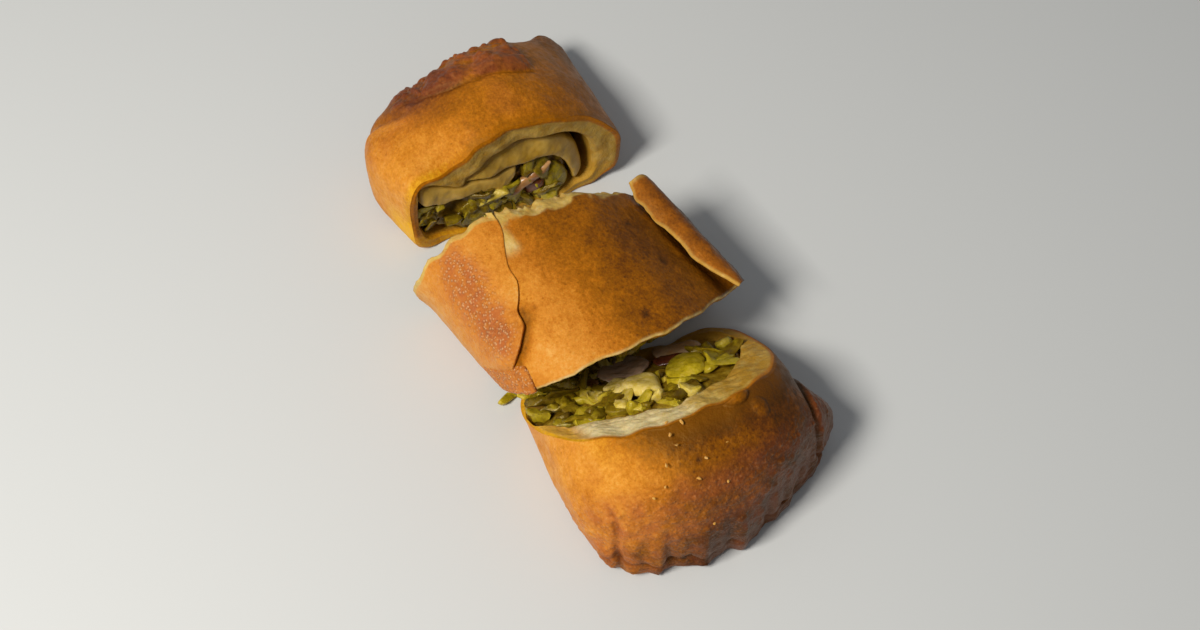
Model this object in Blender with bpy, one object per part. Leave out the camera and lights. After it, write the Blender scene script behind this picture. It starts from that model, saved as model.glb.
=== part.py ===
"""A deep-fried spring roll cut across into three slices, lying in line as they were cut.

Metres. +X runs along the roll from the head slice to the tail slice, +Z is up, and the
slices rest on z = 0. Each slice is a wrapper of rolled dough and a filling that runs
through it. The wrapper's layers part along thin slots that open in the cut faces.
"""

import math

import bpy
import bmesh
import numpy as np
from mathutils import Vector
from mathutils.geometry import tessellate_polygon

# The whole roll
ROLL_HEIGHT = 0.0340
BELT = 0.0125            # height at which a slice is widest
SINK = 0.0012            # how far the section would dip under the table; it is pressed flat
FOOT_POWER = 3.4         # squareness of a section's lower half
FLOOR = 0.0026           # thickness of the dough under a filling
AROUND = 52              # points round a wrapper
CLEARANCE = 0.0005       # between a filling and the dough round it
CENTRE = (0.0004, -0.0026)   # middle of the roll's box, taken off so the origin sits under it
UNEVEN = 0.0002          # swells of hand-rolled dough
SLOT_DEPTH = 0.0055      # of the gaps between layers

# Head slice: closed end at -X, cut end at +X
HEAD_CUT = -0.0340
HEAD_FAR = -0.0690
HEAD_SIDES = (-0.0350, 0.0258)    # y of the section's two flanks, before the left one is pressed
HEAD_MOUTH = (-0.0282, 0.0150)    # y of the filling's two sides at the cut
HEAD_MOUTH_TOP = 0.0150
HEAD_MOUTH_BELT = 0.0075
HEAD_MIDDLE = -0.0030    # y of its ridge line
HEAD_FLANK = -0.0270     # y where the left flank begins to turn upright
HEAD_ROUND = 0.0042      # and how softly it turns
HEAD_DROOP = 0.22        # share by which its right shoulder sinks towards the closed end
HEAD_RIDGE = 0.0024      # puckered fold standing on its closed end

# Middle slice, turned a little on the plate
MIDDLE_PLACE = (0.0030, -0.0050)
MIDDLE_TURN = math.radians(10)
MIDDLE_SIDES = (-0.0305, 0.0325)
MIDDLE_MOUTH = (-0.0265, 0.0200)
MIDDLE_MOUTH_TOP = 0.0240
MIDDLE_NEAR = -0.0170
MIDDLE_FAR = 0.0248
MIDDLE_NEAR_SKEW = 0.24  # both cuts run slantwise across
MIDDLE_FAR_SKEW = 0.15
MIDDLE_OVERHANG = 0.45   # the second cut leans out over the plate
LIP = 0.0042             # free edge of the wrapper, curled up along the right side
LIP_VALLEY = 0.0026      # dip on the inner side of that edge
LAP = 0.0013             # step where the outer sheet overlaps itself

# Tail slice: slanting cut at -X, crimped end at +X
TAIL_SIDES = (-0.0302, 0.0268)
TAIL_HEIGHT = 0.0325
TAIL_MOUTH = (-0.0262, 0.0205)
TAIL_MOUTH_TOP = 0.0262
TAIL_FOOT = 0.0165       # where its slanting cut meets the table
TAIL_SLANT = math.radians(46)
TAIL_FAR = 0.0703
TAIL_UNDER = 0.0014      # how far its foot is tucked in
TAIL_ROUND = 11.8        # how sharply the crimped end comes round at its corners, per metre
MOUTH_BELT = 0.0110      # height at which the middle and tail fillings are widest
TAIL_FLAP = 0.0035       # end of the sheet folded round the right corner

CRUST = (0.58, 0.25, 0.045, 1.0)
LEAF = (0.23, 0.22, 0.03, 1.0)


def remove_everything():
    for thing in list(bpy.data.objects):
        bpy.data.objects.remove(thing, do_unlink=True)


def material(name, colour, roughness):
    finish = bpy.data.materials.new(name)
    finish.use_nodes = True
    shader = finish.node_tree.nodes["Principled BSDF"]
    shader.inputs["Base Color"].default_value = colour
    shader.inputs["Roughness"].default_value = roughness
    shader.inputs["Metallic"].default_value = 0.0
    return finish


class Body:
    """Rings of points and the faces between them, which end as one closed body."""

    def __init__(self):
        self.points = []
        self.faces = []

    def ring(self, x, y, z):
        start = len(self.points)
        self.points += [tuple(p) for p in np.stack(np.broadcast_arrays(x, y, z), -1)]
        return list(range(start, len(self.points)))

    def bridge(self, first, second):
        for a, b, c, d in zip(first, first[1:] + first[:1], second[1:] + second[:1], second):
            self.faces.append((a, b, c, d))

    def point_cap(self, ring, point):
        self.points.append(tuple(point))
        tip = len(self.points) - 1
        for a, b in zip(ring, ring[1:] + ring[:1]):
            self.faces.append((a, b, tip))

    def flat_cap(self, *rings):
        """Faces between an outline and its holes, laid out as they look along X."""
        outlines = [[Vector((self.points[i][1], self.points[i][2])) for i in ring] for ring in rings]
        corners = [i for ring in rings for i in ring]
        for face in tessellate_polygon(outlines):
            self.faces.append(tuple(corners[i] for i in face))

    def pocket(self, rings):
        for shallow, deep in zip(rings, rings[1:]):
            self.bridge(shallow, deep)
        self.flat_cap(rings[-1])

    def make(self, name, finish, place=(0.0, 0.0), turn=0.0):
        shape = bmesh.new()
        corners = [shape.verts.new(p) for p in self.points]
        for face in self.faces:
            shape.faces.new([corners[i] for i in face])
        bmesh.ops.triangulate(shape, faces=shape.faces[:])
        bmesh.ops.recalc_face_normals(shape, faces=shape.faces[:])
        mesh = bpy.data.meshes.new(name)
        shape.to_mesh(mesh)
        shape.free()
        mesh.shade_smooth()
        mesh.set_sharp_from_angle(angle=math.radians(40))
        mesh.materials.append(finish)
        thing = bpy.data.objects.new(name, mesh)
        thing.location = (place[0] - CENTRE[0], place[1] - CENTRE[1], 0.0)
        thing.rotation_euler = (0.0, 0.0, turn)
        bpy.context.scene.collection.objects.link(thing)
        return thing


def turns(count=AROUND):
    """Angles round a section, from the right (+Y) over the top."""
    return np.linspace(0, 2 * math.pi, count, endpoint=False)


def section(angle, left, right, top, foot=-SINK, belt=BELT, left_power=2.7, right_power=2.5):
    """A squashed roll: superellipse quarters that meet at the belt, flat underneath.

    left and right are y of the two flanks. The powers say how square each shoulder is.
    """
    c, s = np.cos(angle), np.sin(angle)
    middle, half = (left + right) / 2, (right - left) / 2
    power = np.where(s < 0, FOOT_POWER, np.where(c < 0, left_power, right_power))
    reach = (np.abs(c) ** power + np.abs(s) ** power) ** (-1 / power)
    y = middle + half * reach * c
    z = belt + np.where(s > 0, top - belt, belt - foot) * reach * s
    return y, np.maximum(z, 0.0)


def lifted(y, z):
    """The foot of a cut edge, raised a hair's breadth off the table towards its middle."""
    return np.maximum(z, 0.0007 * np.cos(45 * y))


def bump(value, place, spread):
    """A smooth swell: 1 at place, gone beyond about twice the spread."""
    return np.exp(-np.abs((value - place) / spread) ** 3)


def uneven(x, y, z, size, phase):
    """Slow swells of hand-rolled dough, from three crossing waves."""
    wave = np.sin(210 * x + 90 * y + phase) + np.sin(150 * y - 120 * z + 2.1 * phase)
    return size * (wave + 0.6 * np.sin(340 * x - 260 * y + 1.7 * phase))


def lumps(y, z, size, phase):
    """Chopped pieces showing at a filling's cut face."""
    close = np.sin(900 * y + phase) * np.sin(1100 * z + 1.3 * phase)
    return size * (close + 0.6 * np.sin(430 * y - 610 * z))


def slot(angle_from, angle_to, inset, gape, outline, count=9):
    """Outline of a thin gap between two layers of dough, seen in the cut face.

    It follows the section's outline at a depth of inset, opening to gape halfway along.
    """
    angle = np.linspace(angle_from, angle_to, count)
    y, z = outline(angle)
    middle_y, middle_z = 0.0, BELT
    length = np.hypot(y - middle_y, z - middle_z)
    opening = gape * np.sin(np.linspace(0.12, 0.88, count) * math.pi)
    outer = 1 - inset / length
    inner = 1 - (inset + opening) / length
    ring_y = np.concatenate([middle_y + (y - middle_y) * outer, (middle_y + (y - middle_y) * inner)[::-1]])
    ring_z = np.concatenate([middle_z + (z - middle_z) * outer, (middle_z + (z - middle_z) * inner)[::-1]])
    return ring_y, ring_z


def shrink(y, z, share):
    """A ring drawn in towards its own middle."""
    return y.mean() + (y - y.mean()) * share, z.mean() + (z - z.mean()) * share


# ---------------------------------------------------------------- head slice

def head_outline(angle):
    """Long slopes either side of the crown; the left flank is pressed upright."""
    y, z = section(angle, *HEAD_SIDES, ROLL_HEIGHT, left_power=1.7, right_power=1.9)
    past_edge = np.maximum(HEAD_FLANK - y, 0.0)
    y = np.where(y < HEAD_FLANK, HEAD_FLANK - HEAD_ROUND * np.tanh(past_edge / HEAD_ROUND), y)
    return y, z


def head_cavity(angle, room=0.0):
    left, right = HEAD_MOUTH
    return section(angle, left + room, right - room, HEAD_MOUTH_TOP - room, FLOOR + room, HEAD_MOUTH_BELT,
                   left_power=3.0, right_power=2.2)


# How the hollow narrows: depth from the cut, share of the mouth left there
HEAD_HOLLOW = [(0.0, 1.0), (0.012, 0.99), (0.022, 0.94), (0.029, 0.80)]


def head_rim(y, z):
    """The head's cut face: nearly upright, a little uneven."""
    return HEAD_CUT - 0.06 * (z - ROLL_HEIGHT / 2) + 0.0003 * np.sin(700 * y + 400 * z)


def head_wrapper(finish):
    body = Body()
    angle = turns()
    cut_y, cut_z = head_outline(angle)
    # Shares of the way from the cut to the closed end, and how much of the section is left there
    stations = [0.0, 0.10, 0.24, 0.38, 0.52, 0.64, 0.74, 0.82, 0.89, 0.945, 0.98, 1.0, 1.0, 1.0]
    to_left = [1.0, 1.04, 1.09, 1.13, 1.14, 1.12, 1.08, 1.02, 0.93, 0.83, 0.72, 0.56, 0.38, 0.20]
    to_right = [1.0, 0.99, 0.98, 0.97, 0.97, 0.97, 0.97, 0.98, 0.97, 0.94, 0.84, 0.64, 0.42, 0.20]
    height = [1.0, 1.01, 1.00, 0.98, 0.95, 0.92, 0.88, 0.84, 0.78, 0.70, 0.60, 0.48, 0.36, 0.22]
    rings = []
    for along, left, right, tall in zip(stations, to_left, to_right, height):
        wide = np.where(cut_y < HEAD_MIDDLE, left, right)
        y = HEAD_MIDDLE + (cut_y - HEAD_MIDDLE) * wide
        right_side = np.clip((cut_y - HEAD_MIDDLE) / 0.022, 0, 1)
        z = cut_z * (1 - HEAD_DROOP * along * right_side ** 2)
        z = np.where(tall < 0.6, BELT + (z - BELT) * tall, z * tall)
        if tall < 0.85:
            # the foot rounds up off the table at the closed end
            z = np.maximum(z, BELT * (1 - math.sqrt(1 - (1 - right) ** 2)))
        x = head_rim(cut_y, cut_z) * (1 - along) + (HEAD_FAR - 0.05 * y) * along
        if 0.2 < along < 0.99:
            z = np.where(z > 0.002, z + uneven(x, y, z, UNEVEN, 0.6), z)
        rise = HEAD_RIDGE * bump(along, 0.88, 0.10) * bump(y, -0.004, 0.017) * (np.sin(angle) > 0.3)
        z = z + rise * (0.75 + 0.25 * np.sin(700 * y))
        if along == 0:
            z = lifted(y, z)
        rings.append(body.ring(x, y, z))
    for first, second in zip(rings, rings[1:]):
        body.bridge(first, second)
    body.point_cap(rings[-1], (HEAD_FAR - 0.0002, HEAD_MIDDLE, BELT))

    cavity_angle = turns(30)
    mouth_y, mouth_z = head_cavity(cavity_angle)
    mouth_x = head_rim(mouth_y, mouth_z)
    holes = []
    for depth, share in HEAD_HOLLOW:
        y, z = shrink(mouth_y, mouth_z, share)
        holes.append(body.ring(mouth_x - depth, y, z))
    openings = [holes]
    for outline in [slot(math.radians(40), math.radians(138), 0.0105, 0.0016, head_outline),
                    slot(math.radians(48), math.radians(132), 0.0045, 0.0007, head_outline)]:
        y, z = outline
        x = head_rim(y, z)
        openings.append([body.ring(x, y, z), body.ring(x - SLOT_DEPTH, *shrink(y, z, 0.9))])
    body.flat_cap(rings[0], *[rings_in[0] for rings_in in openings])
    for rings_in in openings:
        body.pocket(rings_in)
    return body.make("head_wrapper", finish)


def head_filling(finish):
    body = Body()
    y0, z0 = head_cavity(turns(28), room=CLEARANCE)
    rings = []
    for share, out in [(0.35, 0.0010), (0.72, 0.0008), (0.93, 0.0002), (1.0, -0.0008)]:
        y, z = shrink(y0, z0, share)
        rings.append(body.ring(head_rim(y, z) + out + lumps(y, z, 0.0006, 0.4), y, z))
    for depth, share in HEAD_HOLLOW[1:]:
        y, z = shrink(y0, z0, share)
        rings.append(body.ring(head_rim(y0, z0) - depth + 2 * CLEARANCE, y, z))
    for first, second in zip(rings, rings[1:]):
        body.bridge(first, second)
    body.point_cap(rings[0], (HEAD_CUT + 0.0012, y0.mean(), z0.mean()))
    body.flat_cap(rings[-1])
    return body.make("head_filling", finish)


# -------------------------------------------------------------- middle slice

def middle_near(y, z):
    return MIDDLE_NEAR + MIDDLE_NEAR_SKEW * y + 0.0004 * np.sin(800 * y + 300 * z)


def middle_far(y, z):
    """The second cut leans out at the top and comes round at the left corner."""
    left_corner = 6.2 * np.maximum(0.005 - y, 0.0) ** 2
    return MIDDLE_FAR + MIDDLE_FAR_SKEW * y - MIDDLE_OVERHANG * (ROLL_HEIGHT - z) - left_corner


def middle_outline(angle):
    return section(angle, *MIDDLE_SIDES, ROLL_HEIGHT, left_power=2.6, right_power=2.2)


def middle_cavity(angle, room=0.0):
    left, right = MIDDLE_MOUTH
    return section(angle, left + room, right - room, MIDDLE_MOUTH_TOP - room, FLOOR + room, MOUTH_BELT,
                   left_power=2.6, right_power=2.4)


def middle_seam(along):
    """Angle of the lapped edge, which wanders down the left shoulder."""
    return math.radians(108 + 17 * along + 75 * max(along - 0.4, 0.0) ** 1.5)


def middle_wrapper(finish):
    body = Body()
    left_count = AROUND // 3
    right_count = AROUND - left_count
    rings = []
    for along in np.linspace(0, 1, 12):
        seam = middle_seam(along)
        right = np.linspace(-math.pi / 2, seam - 0.012, right_count)
        left = np.linspace(seam + 0.012, 1.5 * math.pi, left_count, endpoint=False)
        angle = np.concatenate([right, left])
        y, z = middle_outline(angle)
        x = middle_near(y, z) * (1 - along) + middle_far(y, z) * along
        if 0 < along < 1:
            z = np.where(z > 0.002, z + uneven(x, y, z, UNEVEN, 2.3), z)
        # the lapped sheet stands up behind its edge and dies away down the flank
        over = np.where(angle > seam, np.exp(-((angle - seam) / 0.7) ** 2), 0.0)
        z = z + LAP * over * (0.45 + 0.55 * along)
        y = y - 0.4 * LAP * over
        # the free edge: a hollow, then a lip that leans back over it
        valley = bump(angle, math.radians(53), math.radians(8))
        crest = bump(angle, math.radians(36), math.radians(11))
        z = z - LIP_VALLEY * valley + LIP * crest
        y = y - 0.35 * LIP * crest
        if along in (0, 1):
            z = lifted(y, z)
        rings.append(body.ring(x, y, z))
    for first, second in zip(rings, rings[1:]):
        body.bridge(first, second)

    mouth = turns(30)
    holes = []
    for along in np.linspace(0, 1, 5):
        y, z = middle_cavity(mouth)
        holes.append(body.ring(middle_near(y, z) * (1 - along) + middle_far(y, z) * along, y, z))
    for first, second in zip(holes, holes[1:]):
        body.bridge(first, second)
    y, z = slot(math.radians(66), math.radians(122), 0.0045, 0.0010, middle_outline)
    bottom = shrink(y, z, 0.9)
    near_slot = [body.ring(middle_near(y, z), y, z), body.ring(middle_near(y, z) + SLOT_DEPTH, *bottom)]
    far_slot = [body.ring(middle_far(y, z), y, z), body.ring(middle_far(y, z) - SLOT_DEPTH, *bottom)]
    body.flat_cap(rings[0], holes[0], near_slot[0])
    body.flat_cap(rings[-1], holes[-1], far_slot[0])
    body.pocket(near_slot)
    body.pocket(far_slot)
    return body.make("middle_wrapper", finish, MIDDLE_PLACE, MIDDLE_TURN)


def middle_filling(finish):
    body = Body()
    y0, z0 = middle_cavity(turns(28), room=CLEARANCE)
    rings = []
    for share, out in [(0.35, 0.0012), (0.72, 0.0008), (0.93, 0.0), (1.0, -0.0010)]:
        y, z = shrink(y0, z0, share)
        rings.append(body.ring(middle_near(y, z) - out + lumps(y, z, 0.0006, 1.9), y, z))
    for along in (0.33, 0.67):
        rings.append(body.ring(middle_near(y0, z0) * (1 - along) + middle_far(y0, z0) * along, y0, z0))
    for share, out in [(1.0, -0.0010), (0.93, 0.0), (0.72, 0.0008), (0.35, 0.0012)]:
        y, z = shrink(y0, z0, share)
        rings.append(body.ring(middle_far(y, z) + out + lumps(y, z, 0.0006, 3.1), y, z))
    for first, second in zip(rings, rings[1:]):
        body.bridge(first, second)
    heart = (y0.mean(), z0.mean())
    body.point_cap(rings[0], (middle_near(*heart) - 0.0013, *heart))
    body.point_cap(rings[-1], (middle_far(*heart) + 0.0013, *heart))
    return body.make("middle_filling", finish, MIDDLE_PLACE, MIDDLE_TURN)


# ---------------------------------------------------------------- tail slice

def tail_rim(y, z):
    """The slanting cut, from the table up to the crown."""
    return TAIL_FOOT + z / math.tan(math.pi / 2 - TAIL_SLANT) + 0.0004 * np.sin(500 * y + 300 * z)


def tail_outline(angle):
    return section(angle, *TAIL_SIDES, TAIL_HEIGHT, left_power=2.4, right_power=2.6)


def tail_cavity(angle, room=0.0):
    left, right = TAIL_MOUTH
    return section(angle, left + room, right - room, TAIL_MOUTH_TOP - room, FLOOR + room, MOUTH_BELT,
                   left_power=2.3, right_power=2.6)


# How the hollow narrows: depth from the cut, shares of the mouth's width and height left there
TAIL_HOLLOW = [(0.0, 1.0, 1.0), (0.004, 0.99, 0.98), (0.009, 0.96, 0.90), (0.014, 0.88, 0.74)]


def tail_wrapper(finish):
    body = Body()
    angle = turns()
    cut_y, cut_z = tail_outline(angle)
    stations = [0.0, 0.12, 0.26, 0.40, 0.54, 0.67, 0.78, 0.87, 0.94, 0.98, 1.0, 1.0, 1.0]
    width = [1.0, 1.02, 1.05, 1.08, 1.09, 1.09, 1.07, 1.04, 1.00, 0.94, 0.84, 0.56, 0.28]
    height = [1.0, 1.0, 0.98, 0.94, 0.89, 0.81, 0.70, 0.56, 0.42, 0.31, 0.22, 0.15, 0.08]
    rings = []
    for along, wide, tall in zip(stations, width, height):
        y = -0.0015 + 0.0025 * along + (cut_y + 0.0015) * wide
        z = cut_z * tall
        crimp = 0.0008 * np.sin(520 * y)
        far = TAIL_FAR - TAIL_ROUND * (y + 0.002) ** 2 + crimp - TAIL_UNDER * bump(z, 0, 0.0015)
        x = tail_rim(cut_y, cut_z) * (1 - along) + far * along
        if 0.2 < along < 0.9:
            z = np.where(z > 0.002, z + uneven(x, y, z, UNEVEN, 4.4), z)
        # the folded end of the sheet stands out round the right corner
        y = y + TAIL_FLAP * bump(x, 0.0535, 0.0075) * bump(z, 0.004, 0.008) * (np.cos(angle) > 0.3)
        if along == 0:
            z = lifted(y, z)
        rings.append(body.ring(x, y, z))
    for first, second in zip(rings, rings[1:]):
        body.bridge(first, second)
    body.point_cap(rings[-1], (TAIL_FAR + 0.0002, 0.001, 0.0008))

    mouth_y, mouth_z = tail_cavity(turns(30))
    holes = []
    for depth, wide, tall in TAIL_HOLLOW:
        y = mouth_y.mean() + (mouth_y - mouth_y.mean()) * wide
        z = FLOOR + (mouth_z - FLOOR) * tall
        holes.append(body.ring(tail_rim(mouth_y, mouth_z) + depth, y, z))
    y, z = slot(math.radians(38), math.radians(100), 0.0034, 0.0009, tail_outline)
    gap = [body.ring(tail_rim(y, z), y, z), body.ring(tail_rim(y, z) + SLOT_DEPTH, *shrink(y, z, 0.9))]
    body.flat_cap(rings[0], holes[0], gap[0])
    body.pocket(holes)
    body.pocket(gap)
    return body.make("tail_wrapper", finish)


def tail_filling(finish):
    body = Body()
    y0, z0 = tail_cavity(turns(28), room=CLEARANCE)
    rings = []
    for share, out in [(0.35, 0.0005), (0.72, 0.0004), (0.93, -0.0004), (1.0, -0.0016)]:
        y, z = shrink(y0, z0, share)
        rings.append(body.ring(tail_rim(y, z) - out + lumps(y, z, 0.0008, 5.2), y, z))
    for depth, wide, tall in TAIL_HOLLOW[1:]:
        y = y0.mean() + (y0 - y0.mean()) * wide
        z = z0.min() + (z0 - z0.min()) * tall
        rings.append(body.ring(tail_rim(y0, z0) + depth - 2 * CLEARANCE, y, z))
    for first, second in zip(rings, rings[1:]):
        body.bridge(first, second)
    heart = (y0.mean(), z0.mean())
    body.point_cap(rings[0], (tail_rim(*heart) - 0.0006, *heart))
    body.flat_cap(rings[-1])
    return body.make("tail_filling", finish)


remove_everything()
crust = material("fried_dough", CRUST, 0.45)
leaf = material("chopped_filling", LEAF, 0.4)
for build, finish in [(head_wrapper, crust), (head_filling, leaf), (middle_wrapper, crust),
                      (middle_filling, leaf), (tail_wrapper, crust), (tail_filling, leaf)]:
    build(finish)
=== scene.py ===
"""A deep-fried spring roll, cut across into three slices that lie in line on a pale table.

The head slice is closed at its far end, the middle slice is cut at both ends, and the tail
slice has a slanting cut and a crimped end. Each is a wrapper of rolled dough, fried brown
outside and pale inside, round a filling of chopped cabbage, leek and onion.

Sizes are in millimetres. X runs along the roll from head to tail, Y across it, Z up.
"""

import itertools
import math

import bpy
import numpy as np
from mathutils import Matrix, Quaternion, Vector


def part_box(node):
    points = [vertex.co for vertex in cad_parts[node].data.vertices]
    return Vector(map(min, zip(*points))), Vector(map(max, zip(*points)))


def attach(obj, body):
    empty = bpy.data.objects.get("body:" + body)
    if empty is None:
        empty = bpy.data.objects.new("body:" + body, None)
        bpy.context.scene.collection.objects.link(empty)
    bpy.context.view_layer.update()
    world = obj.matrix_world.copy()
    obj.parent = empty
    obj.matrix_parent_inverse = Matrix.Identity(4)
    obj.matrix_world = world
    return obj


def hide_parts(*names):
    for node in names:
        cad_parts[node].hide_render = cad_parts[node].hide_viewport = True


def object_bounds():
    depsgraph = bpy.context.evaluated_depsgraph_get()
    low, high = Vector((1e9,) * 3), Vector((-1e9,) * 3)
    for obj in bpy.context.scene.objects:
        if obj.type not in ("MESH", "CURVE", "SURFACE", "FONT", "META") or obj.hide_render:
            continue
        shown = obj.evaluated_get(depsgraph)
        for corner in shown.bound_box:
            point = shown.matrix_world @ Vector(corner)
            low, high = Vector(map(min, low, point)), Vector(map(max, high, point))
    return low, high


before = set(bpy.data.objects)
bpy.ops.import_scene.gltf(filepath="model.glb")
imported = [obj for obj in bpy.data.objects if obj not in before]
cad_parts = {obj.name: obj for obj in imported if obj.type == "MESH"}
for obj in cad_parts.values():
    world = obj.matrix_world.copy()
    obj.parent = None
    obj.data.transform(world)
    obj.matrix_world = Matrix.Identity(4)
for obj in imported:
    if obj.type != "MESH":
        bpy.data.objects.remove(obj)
cad_low, cad_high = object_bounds()
MM = 0.001


# ---------------- table, light and camera
# A plain pale table under a broad window-like light from the left. An even dim light fills
# the shadows. The camera looks down over the near right corner, as a diner would.

floor_mesh = bpy.data.meshes.new("table")
floor_mesh.from_pydata([(-4, -4, 0), (4, -4, 0), (4, 4, 0), (-4, 4, 0)], [], [(0, 1, 2, 3)])
table = bpy.data.objects.new("table", floor_mesh)
bpy.context.scene.collection.objects.link(table)
pale = bpy.data.materials.new("pale_table")
pale.use_nodes = True
pale.node_tree.nodes["Principled BSDF"].inputs["Base Color"].default_value = (0.63, 0.64, 0.635, 1)
pale.node_tree.nodes["Principled BSDF"].inputs["Roughness"].default_value = 0.55
floor_mesh.materials.append(pale)

sky = bpy.data.worlds.new("room")
bpy.context.scene.world = sky
sky.use_nodes = True
sky.node_tree.nodes["Background"].inputs["Color"].default_value = (0.93, 0.96, 1.0, 1)
sky.node_tree.nodes["Background"].inputs["Strength"].default_value = 0.22

middle_of_roll = (cad_low + cad_high) / 2


def soft_light(name, toward, distance, size, power, colour):
    """A square area light at that distance from the roll, along the given direction, facing it."""
    lamp = bpy.data.lights.new(name, "AREA")
    lamp.size = size
    lamp.energy = power
    lamp.color = colour
    thing = bpy.data.objects.new(name, lamp)
    along = Vector(toward).normalized()
    thing.location = middle_of_roll + along * distance
    thing.rotation_mode = "QUATERNION"
    thing.rotation_quaternion = along.to_track_quat("Z", "Y")
    bpy.context.scene.collection.objects.link(thing)


soft_light("window", (0.14, -0.62, 0.76), 0.70, 0.20, 5.1, (1.0, 0.965, 0.90))

VIEW_TURN = math.radians(60)
VIEW_HEIGHT = math.radians(59)
VIEW_ROLL = math.radians(3.6)
VIEW_DISTANCE = 0.379
camera_data = bpy.data.cameras.new("camera")
camera_data.lens = 49.5
camera_data.clip_start = 0.01
camera = bpy.data.objects.new("camera", camera_data)
look = Vector((-math.cos(VIEW_HEIGHT) * math.sin(VIEW_TURN), math.cos(VIEW_HEIGHT) * math.cos(VIEW_TURN),
               -math.sin(VIEW_HEIGHT)))
aim = Vector((0.0098, -0.0008, 0.015))
camera.location = aim - look * VIEW_DISTANCE
camera.rotation_mode = "QUATERNION"
camera.rotation_quaternion = look.to_track_quat("-Z", "Y") @ Quaternion((0, 0, 1), VIEW_ROLL)
bpy.context.scene.collection.objects.link(camera)
bpy.context.scene.camera = camera
bpy.context.scene.view_settings.view_transform = "Standard"


# ---------------- head slice: wrapper
# The closed end of the roll: one sheet of dough wound round, fried golden brown. Its far end
# is folded shut under a puckered ridge. The knife has bared the pale dough at the near end.

head_low, head_high = (np.array(corner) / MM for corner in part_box("head_wrapper"))
BELT = 12.5                      # height at which a slice is widest
FOOT = -1.2                      # where its lower quarters would meet, if the table didn't flatten them
HEAD_CUT = head_high[0] - 1.3
HEAD_FAR = head_low[0] + 0.8
HEAD_TOP = head_high[2] - 0.3
HEAD_MIDDLE = -0.4               # y of its crown


def hashed(cells, seed):
    """A fixed random number from 0 to 1 for each whole-number cell."""
    mixed = cells[..., 0] * 73856093 ^ cells[..., 1] * 19349663
    mixed = mixed ^ cells[..., 2] * 83492791 ^ (seed + 1) * 2654435761
    mixed = (mixed ^ (mixed >> 13)) * 1274126177
    mixed = (mixed ^ (mixed >> 16)) & 0xFFFFFF
    return mixed / 0x1000000


def speckle(points, size, seed):
    """Smooth random field, -1 to 1: hashed values at the corners of cubes, blended with a cubic ease."""
    cell = points / size
    corner = np.floor(cell).astype(np.int64)
    ease = cell - corner
    ease = ease * ease * (3 - 2 * ease)
    total = np.zeros(cell.shape[:-1])
    for step in itertools.product((0, 1), repeat=3):
        weight = np.abs(1 - np.array(step) - ease).prod(-1)
        total += weight * hashed(corner + step, seed)
    return 2 * total - 1


def cloud(points, size, seed, octaves=4):
    """Cloudy unevenness: speckle summed at halving sizes and halving strengths."""
    return sum(speckle(points, size / 2 ** k, seed + k) / 2 ** k for k in range(octaves)) / 1.6


def blisters(points, spacing, seed, share=0.6):
    """Round domes on a jittered lattice: 1 - (distance / radius) squared from the nearest centre, or 0."""
    cell = points / spacing
    home = np.floor(cell).astype(np.int64)
    height = np.zeros(cell.shape[:-1])
    for step in itertools.product((-1, 0, 1), repeat=3):
        near = home + step
        centre = near + 0.5 + 0.7 * (np.stack([hashed(near, seed + k) for k in range(3)], -1) - 0.5)
        radius = 0.22 + 0.40 * hashed(near, seed + 3)
        gap = ((cell - centre) ** 2).sum(-1) / radius ** 2
        height = np.maximum(height, np.where(hashed(near, seed + 4) < share, 1 - gap, 0))
    return height


def eased(at, places, values):
    """A smooth curve through the values: cubics between them, with slopes taken from their neighbours."""
    places, values = np.asarray(places, float), np.asarray(values, float)
    slopes = np.gradient(values, places)
    at = np.clip(at, places[0], places[-1])
    i = np.clip(np.searchsorted(places, at) - 1, 0, len(places) - 2)
    step = places[i + 1] - places[i]
    t = (at - places[i]) / step
    start = (2 * t ** 3 - 3 * t ** 2 + 1) * values[i] + (t ** 3 - 2 * t ** 2 + t) * step * slopes[i]
    return start + (3 * t ** 2 - 2 * t ** 3) * values[i + 1] + (t ** 3 - t ** 2) * step * slopes[i + 1]


def smooth(value, start, end):
    """0 before start, 1 after end, a cubic ease between."""
    t = np.clip((value - start) / (end - start), 0, 1)
    return t * t * (3 - 2 * t)


def spot(x, y, at_x, at_y, wide_x, wide_y, power=2):
    """A soft-edged patch: exp(-(dx/wide)^power - (dy/wide)^power)."""
    return np.exp(-np.abs((x - at_x) / wide_x) ** power - np.abs((y - at_y) / wide_y) ** power)


def section(angle, left, right, top, left_power, right_power, foot_power=3.4):
    """A squashed roll: superellipse quarters that meet at the belt, pressed flat on the table."""
    c, s = np.cos(angle), np.sin(angle)
    middle, half = (left + right) / 2, (right - left) / 2
    power = np.where(s < 0, foot_power, np.where(c < 0, left_power, right_power))
    reach = (np.abs(c) ** power + np.abs(s) ** power) ** (-1 / power)
    z = BELT + np.where(s > 0, top - BELT, BELT - FOOT) * reach * s
    return middle + half * reach * c, np.maximum(z, 0.0)


def even_angles(outline, count):
    """Angles that part an outline into equal lengths, from the foot round. Its flat underside gets fewer."""
    fine = np.linspace(-math.pi / 2, 1.5 * math.pi, 4001)
    y, z = outline(fine)
    steps = np.hypot(np.diff(y), np.diff(z)) * np.where(z[1:] < 0.5, 0.35, 1.0) + 1e-6
    length = np.concatenate([[0], np.cumsum(steps)])
    return np.interp(np.linspace(0, length[-1], count, endpoint=False), length, fine)


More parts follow.
